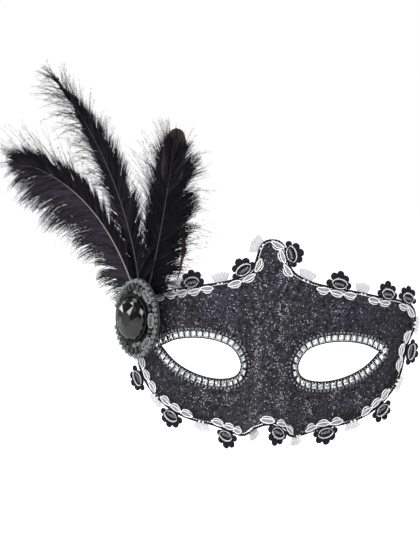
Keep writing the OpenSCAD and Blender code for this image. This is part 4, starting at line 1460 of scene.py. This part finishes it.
def sheet_between(paths, depth, group, last_step, open_step):
    """The closed part of a web: neighbouring barbs joined, split between locks further out."""
    n = len(paths)
    points = np.concatenate([paths, depth[..., None]], -1).reshape(-1, 3)
    faces = []
    for i in range(n - 1):
        stop = min(last_step[i], last_step[i + 1])
        if group[i] != group[i + 1]:
            stop = min(stop, open_step)
        for k in range(stop):
            a = i * n_step + k
            faces.append([a, a + 1, a + n_step + 1, a + n_step])
    return points, faces


def web(rng, curve, side, table, count, lock, pull, width, shade, spread, closed=0.0, rough=0.2):
    """One web of a plume. Rows of the table are t, reach, lean and curl at points along the
    quill. Returns points, faces and a tone for each point."""
    knots, reach_at, lean_at, curl_at = np.array(table, float).T
    t = np.sort(rng.uniform(knots[0], knots[-1], count))
    group = np.cumsum(rng.uniform(0, 1, count) < 1 / lock)
    lock_rough = rng.normal(0, 1, group[-1] + 1)[group]
    lock_long = rng.normal(0, 1, group[-1] + 1)[group]
    reach = np.interp(t, knots,
                      reach_at) * (1 + rough * (0.5 * lock_long + 0.6 * rng.uniform(-1, 0.6,
                          count)))
    lean = np.interp(t, knots,
                     lean_at) + spread * (0.5 * lock_rough + 0.35 * rng.normal(0, 1, count))
    curl = np.interp(t, knots, curl_at) + spread * (0.8 * lock_long + 0.5 * rng.normal(0, 1, count))
    paths = gathered(barb_paths(curve, side, t, np.maximum(2, reach), lean, curl), group, pull)
    u = np.linspace(0, 1, n_step)[None, :]
    far = np.clip((np.linalg.norm(paths, axis=-1) - 75) / 60, 0, 1)
    wave = np.sin(2.2 * lock_rough[:, None] + 3 * u + rng.uniform(-0.6, 0.6, count)[:, None])
    depth = (0.45 + 2.8 * far) * wave * u ** 1.3 * 0.9 + rng.uniform(-0.25, 0.25, count)[:, None]
    tone = np.clip(shade + 0.16 * lock_rough + 0.12 * rng.normal(0, 1, count), 0, 1)
    made = [strips(paths, depth, width * rng.uniform(0.5, 1.3, count),
                   rng.uniform(-0.9, 0.9, count))]
    tones = [np.repeat(tone, 2 * n_step)]
    if closed > 0:
        last = (closed * (n_step - 1) * (1 + 0.25 * rng.uniform(-1, 1, count))).astype(int)
        last = np.clip(last, 1, n_step - 1)
        made.append(sheet_between(paths, 0.5 * depth, group, last,
                                  max(1, int(0.62 * closed * n_step))))
        tones.append(np.repeat(np.clip(tone - 0.12, 0, 1), n_step))
    return (*joined(*made), np.concatenate(tones))


def down_hairs(rng, curve, side, table, count, spread):
    """Single long hairs outside a web, each with finer hairs along it."""
    knots, reach_at, lean_at, curl_at = np.array(table, float).T
    t = rng.uniform(knots[0], knots[-1], count)
    reach = np.interp(t, knots, reach_at) * rng.uniform(0.5, 1.1, count)
    lean = np.interp(t, knots, lean_at) + spread * rng.normal(0, 1, count)
    curl = np.interp(t, knots, curl_at) + 1.6 * spread * rng.normal(0, 1, count)
    paths = barb_paths(curve, side, t, reach, lean, curl)
    past = np.minimum(paths[:, -1, 0], -hair_limit) + hair_limit
    shorter = 1 - past / np.minimum(-1e-6, paths[:, -1, 0] - paths[:, 0, 0]) * (past < 0)
    paths = paths[:, :1] + (paths - paths[:, :1]) * np.clip(shorter, 0.2, 1)[:, None, None]
    u = np.linspace(0, 1, n_step)[None, :]
    far = np.clip((np.linalg.norm(paths, axis=-1) - 60) / 60, 0, 1)
    depth = (0.5 + 3.6 * far) * rng.uniform(-1, 1, count)[:, None] * u**1.5
    made = [strips(paths, depth, rng.uniform(0.16, 0.34, count), rng.uniform(-0.7, 0.7, count))]
    # The finer hairs: short strips of one face each.
    per = 26
    i = np.repeat(np.arange(count), per)
    at = rng.uniform(2, n_step - 1.01, count * per)
    k, rest = at.astype(int), (at - at.astype(int))[:, None]
    spot = paths[i, k] * (1 - rest) + paths[i, k + 1] * rest
    way = paths[i, k + 1] - paths[i, k]
    angle = np.arctan2(way[:, 1], way[:, 0]) + rng.choice([-1, 1], count * per) * rng.uniform(0.4,
        0.9, count * per)
    length = rng.uniform(0.8, 2.4, count * per)[:, None]
    tip = spot + length * np.stack([np.cos(angle), np.sin(angle)], -1)
    thin = 0.05 * np.stack([-np.sin(angle), np.cos(angle)], -1)
    level = depth[i, k][:, None]
    corners = [np.concatenate([p, level], -1) for p in (spot - thin, spot + thin, tip + 0.3 * thin,
                                                        tip - 0.3 * thin)]
    points = np.stack(corners, 1).reshape(-1, 3)
    a = 4 * np.arange(count * per)
    made.append((points, np.stack([a, a + 1, a + 2, a + 3], -1).tolist()))
    return (*joined(*made), np.full(2 * n_step * count + 4 * count * per, 0.35))


# Dyed feather: keratin barbs, brown-black where they lie thick, with a painted grey-violet
# sheen that stands for light catching their sides, and a streak along each barb.
plume, tree, shader = new_material("dyed_black_feather", Roughness=0.6, Specular_IOR_Level=0.07)
tone_at = put(tree, "ShaderNodeAttribute", {}, attribute_name="tone")
down = noise(tree, 420.0, 5.0, Roughness=0.7)
mottled = put(tree, "ShaderNodeMath", {0: down.outputs["Fac"], 1: 0.5, 2: -0.25},
              operation="MULTIPLY_ADD")
dye_and_sheen_share = put(tree, "ShaderNodeMath", {0: tone_at.outputs["Fac"], 1: mottled.outputs[0]},
                operation="ADD")
# Painted sheen: the dark end of this ramp is the dye, the grey-violet end is painted light.
dye_and_sheen = put(tree, "ShaderNodeValToRGB", {"Fac": dye_and_sheen_share.outputs[0]})
dye_and_sheen.color_ramp.elements[0].color = to_linear("#050506")
dye_and_sheen.color_ramp.elements[0].position = 0.15
dye_and_sheen.color_ramp.elements[1].color = to_linear("#3d3945")
dye_and_sheen.color_ramp.elements[1].position = 1.0
faded = put(tree, "ShaderNodeAttribute", {}, attribute_name="faded")
brown = colour_mix(tree, faded.outputs["Fac"], dye_and_sheen.outputs["Color"], to_linear("#372d2c"))
tree.links.new(brown.outputs[2], shader.inputs["Base Color"])

# Quill: bare keratin with a satin gloss, grey with darker dye left along it.
keratin, tree, shader = new_material("dyed_grey_quill", Roughness=0.38, IOR=1.54)
dye_left = noise(tree, 220.0, 4.0)
quill_grey = colour_mix(tree, dye_left.outputs["Fac"], to_linear("#3d3b42"), to_linear("#8f8b94"))
tree.links.new(quill_grey.outputs[2], shader.inputs["Base Color"])
keratin_dark, tree, shader = new_material("dyed_dark_quill", Roughness=0.42, IOR=1.54)
dye_dark = noise(tree, 220.0, 4.0)
quill_dark = colour_mix(tree, dye_dark.outputs["Fac"], to_linear("#0e0d10"), to_linear("#333036"))
tree.links.new(quill_dark.outputs[2], shader.inputs["Base Color"])


def plume_pieces(name, curve, layer, webs, finish, quill_r):
    """The quill with its wound thread loop, and the vane, as two pieces on the feather's body."""
    here = jewel_place(0, pin_up, layer_first + layer_step * layer)
    t = np.linspace(0.045, 0.97, 60)
    line = np.concatenate([bend_at(curve, t), np.full((60, 1), 0.12)], -1)
    shaft = tube(line, quill_r * (1 - 0.88 * t), 8)
    loop = []
    for turn in range(4):
        radius = 1.28 + 0.14 * (turn % 2)
        loop.append(tube(loop_path(2 * radius, 2 * radius, -0.45 + 0.3 * turn, 28), 0.22, 5,
                         closed=True))
    bind_turn = np.linspace(0, 2 * np.pi * 9, 120)
    bind_t = np.linspace(0.02, 0.06, 120)
    bind = np.concatenate([bend_at(curve, bind_t), np.zeros((120, 1))], -1)
    aside = bend_angle(curve, bind_t)
    bind[:, 0] += -0.78 * np.sin(aside) * np.cos(bind_turn)
    bind[:, 1] += 0.78 * np.cos(aside) * np.cos(bind_turn)
    bind[:, 2] += 0.6 * np.sin(bind_turn)
    thread_work = joined(*loop, tube(bind, 0.16, 5))
    quill = new_piece(
        f"{name}_quill",
        *stamp(joined(shaft, thread_work), here),
        [finish, cotton],
        [0] * len(shaft[1]) + [1] * len(thread_work[1]),
    )
    points, faces = joined(*[(w[0], w[1]) for w in webs])
    vane = new_piece(f"{name}_vane", *stamp((points, faces), here), [plume])
    give_values(vane, "tone", np.concatenate([w[2] for w in webs]))
    give_values(vane, "faded", np.concatenate([w[3] if len(w) > 3 else 0 * w[2] for w in webs]))
    for piece, part, slot in ((quill, "quill", "quill"), (vane, "vane", "feather")):
        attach(piece, f"feather_{name.split('_')[0]}")
        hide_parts(f"feather_{name.split('_')[0]}_{part}")


# ---- Left feather ----
# It lies in front and bows over to the side; its lower web hangs in soft locks with a
# painted violet-grey sheen, its upper web is thick and dark, and its quill shows pale.
rng = np.random.default_rng(11)
lower = [[0.03, 13, 60, 35], [0.1, 23, 55, 30], [0.3, 28, 48, 24], [0.45, 31, 46, 24],
         [0.6, 34, 44, 24], [0.75, 32, 38, 24], [0.9, 22, 28, 18], [1.0, 12, 10, 5]]
upper = [[0.1, 9, 30, -5], [0.3, 15, 32, -5], [0.45, 19, 34, -8], [0.6, 23, 34, -12],
         [0.75, 24, 32, -14], [0.9, 22, 22, -10], [1.0, 12, 5, 0]]
upper_hairs = [[0.35, 22, 30, -10], [0.6, 38, 30, -14], [0.85, 42, 24, -16], [1.0, 26, 14, 0]]
lower_hairs = [[0.02, 24, 60, 40], [0.3, 34, 52, 40], [0.6, 40, 46, 34], [0.85, 32, 34, 30],
               [1.0, 20, 10, 10]]
plume_pieces("left_feather", left_curve, 2, [
    web(rng, left_curve, 1, lower, 320, 8, 0.6, 0.5, 0.5, 8, closed=0.56),
    web(rng, left_curve, 1, lower, 1500, 7, 0.62, 0.38, 0.56, 14),
    web(rng, left_curve, -1, upper, 280, 12, 0.5, 0.5, 0.14, 5, closed=0.85),
    web(rng, left_curve, -1, upper, 1000, 9, 0.45, 0.42, 0.2, 8),
    down_hairs(rng, left_curve, -1, upper_hairs, 120, 8),
    down_hairs(rng, left_curve, 1, lower_hairs, 160, 12),
], keratin, 0.6)

# ---- Middle feather ----
# The longest: a narrow plume that thins to a bare dark point, with loose hairs on its left
# side and short stiff ones on its right.
rng = np.random.default_rng(12)
lower = [[0.08, 18, 40, 10], [0.25, 18, 32, 5], [0.5, 15, 28, 5], [0.68, 11, 22, 4],
         [0.8, 5, 14, 0], [0.95, 3, 6, 0]]
upper = [[0.08, 18, 40, 8], [0.25, 21, 32, 4], [0.5, 22, 28, 0], [0.68, 18, 24, -4],
         [0.8, 9, 17, -4], [0.88, 4, 12, 0], [0.95, 3, 6, 0]]
lower_hairs = [[0.3, 24, 38, 14], [0.6, 29, 40, 14], [0.85, 27, 34, 12], [0.95, 14, 18, 6]]
upper_hairs = [[0.3, 22, 30, 6], [0.6, 25, 28, 4], [0.8, 24, 22, 0], [0.9, 18, 20, 0]]
plume_pieces("middle_feather", middle_curve, 1, [
    web(rng, middle_curve, 1, lower, 280, 10, 0.5, 0.5, 0.16, 6, closed=0.7),
    web(rng, middle_curve, 1, lower, 900, 7, 0.4, 0.4, 0.16, 10),
    web(rng, middle_curve, -1, upper, 300, 9, 0.5, 0.5, 0.14, 6, closed=0.74),
    web(rng, middle_curve, -1, upper, 1100, 7, 0.45, 0.4, 0.22, 10),
    down_hairs(rng, middle_curve, 1, lower_hairs, 190, 12),
    down_hairs(rng, middle_curve, -1, upper_hairs, 130, 8),
], keratin_dark, 0.55)

# ---- Right feather ----
# It stands nearly upright: a thick plume with long loose hairs, a smooth rounded tip where
# the web is closed and faded to brown, and one lock that hangs down beside it.
rng = np.random.default_rng(13)
left_web = [[0.06, 13, 40, 10], [0.25, 20, 34, 6], [0.5, 26, 28, 0], [0.7, 23, 24, -2],
            [0.82, 15, 22, -6]]
right_web = [[0.06, 15, 44, 18], [0.2, 24, 44, 14], [0.45, 30, 38, 6], [0.65, 28, 32, 0],
             [0.8, 17, 26, -2]]
left_hairs = [[0.2, 36, 26, 10], [0.45, 46, 28, 8], [0.7, 36, 24, 6], [0.85, 20, 22, 6]]
right_hairs = [[0.1, 32, 64, 20], [0.3, 42, 58, 24], [0.55, 38, 46, 22], [0.8, 26, 32, 10]]


def closed_tip(rng, curve, from_t, half, top, count):
    """The smooth rounded end of a plume: barbs that fan out to an even arc, all joined."""
    share = np.linspace(-1, 1, count)
    root = bend_at(curve, from_t + (0.985 - from_t) * (1 - np.abs(share)) ** 0.8)
    middle, ahead = bend_at(curve, 0.9) + [1.2, -1.5], bend_at(curve, 1.0) - bend_at(curve, 0.8)
    ahead /= np.linalg.norm(ahead)
    beside = np.array([-ahead[1], ahead[0]])
    turn = -share * 0.62 * np.pi
    end = middle + half * np.sin(turn)[:, None] * beside * -1 + top * np.cos(turn)[:, None] * ahead
    end -= 13.0 * (np.maximum(0, np.abs(share) - 0.7) / 0.3)[:, None] * ahead
    knee = 0.5 * (root + end) - 1.6 * ahead
    u = np.linspace(0, 1, n_step)[None, :, None]
    paths = (1 - u) ** 2 * root[:, None] + 2 * u * (1 - u) * knee[:, None] + u * u * end[:, None]
    depth = 0.3 * np.sin(9 * share)[:, None] * u[..., 0] + 0.9 * (share**2)[:, None] * u[...,
        0] ** 2
    whole = np.full(count, n_step - 1)
    sheet = sheet_between(paths, depth, np.zeros(count), whole, n_step)
    ribs = strips(paths, depth - 0.12, rng.uniform(0.3, 0.6, count), rng.uniform(-0.3, 0.3, count))
    tone = np.clip(0.12 + 0.14 * rng.normal(0, 1, count), 0, 1)
    points, faces = joined(ribs, sheet)
    tones = np.concatenate([np.repeat(tone, 2 * n_step), np.repeat(tone - 0.05, n_step)])
    far = np.concatenate([np.repeat(np.linspace(0, 1, n_step)[None], count, 0).repeat(2,
        1).reshape(-1),
                          np.repeat(np.linspace(0, 1, n_step)[None], count, 0).reshape(-1)])
    return points, faces, tones, np.clip(0.85 * far**1.5, 0, 1)


tips = [closed_tip(rng, right_curve, 0.66, 7.9, 10.5, 170)]
lock_curve = np.array([[13, 50], [35, 56], [23.5, 17.0]])
lock_web = [[0.1, 6, 14, 0], [0.5, 9, 12, -4], [0.8, 6, 6, -3], [0.98, 1.5, 2, 0]]
locks = []
for side in (1, -1):
    points, faces, tone = web(rng, lock_curve, side, lock_web, 120, 30, 0.3, 0.5, 0.3, 1.2,
                              closed=1.0, rough=0.05)
    locks.append((points, faces, tone, np.clip((52 - points[:, 1]) / 22, 0, 0.9)))
plume_pieces("right_feather", right_curve, 0, [
    web(rng, right_curve, 1, left_web, 300, 10, 0.55, 0.5, 0.06, 7, closed=0.8),
    web(rng, right_curve, 1, left_web, 1200, 8, 0.5, 0.42, 0.1, 11),
    web(rng, right_curve, -1, right_web, 320, 9, 0.5, 0.5, 0.02, 9, closed=0.76),
    web(rng, right_curve, -1, right_web, 1300, 8, 0.45, 0.42, 0.06, 12),
    *tips,
    *locks,
    down_hairs(rng, right_curve, 1, left_hairs, 260, 11),
    down_hairs(rng, right_curve, -1, right_hairs, 180, 14),
], keratin_dark, 0.55)
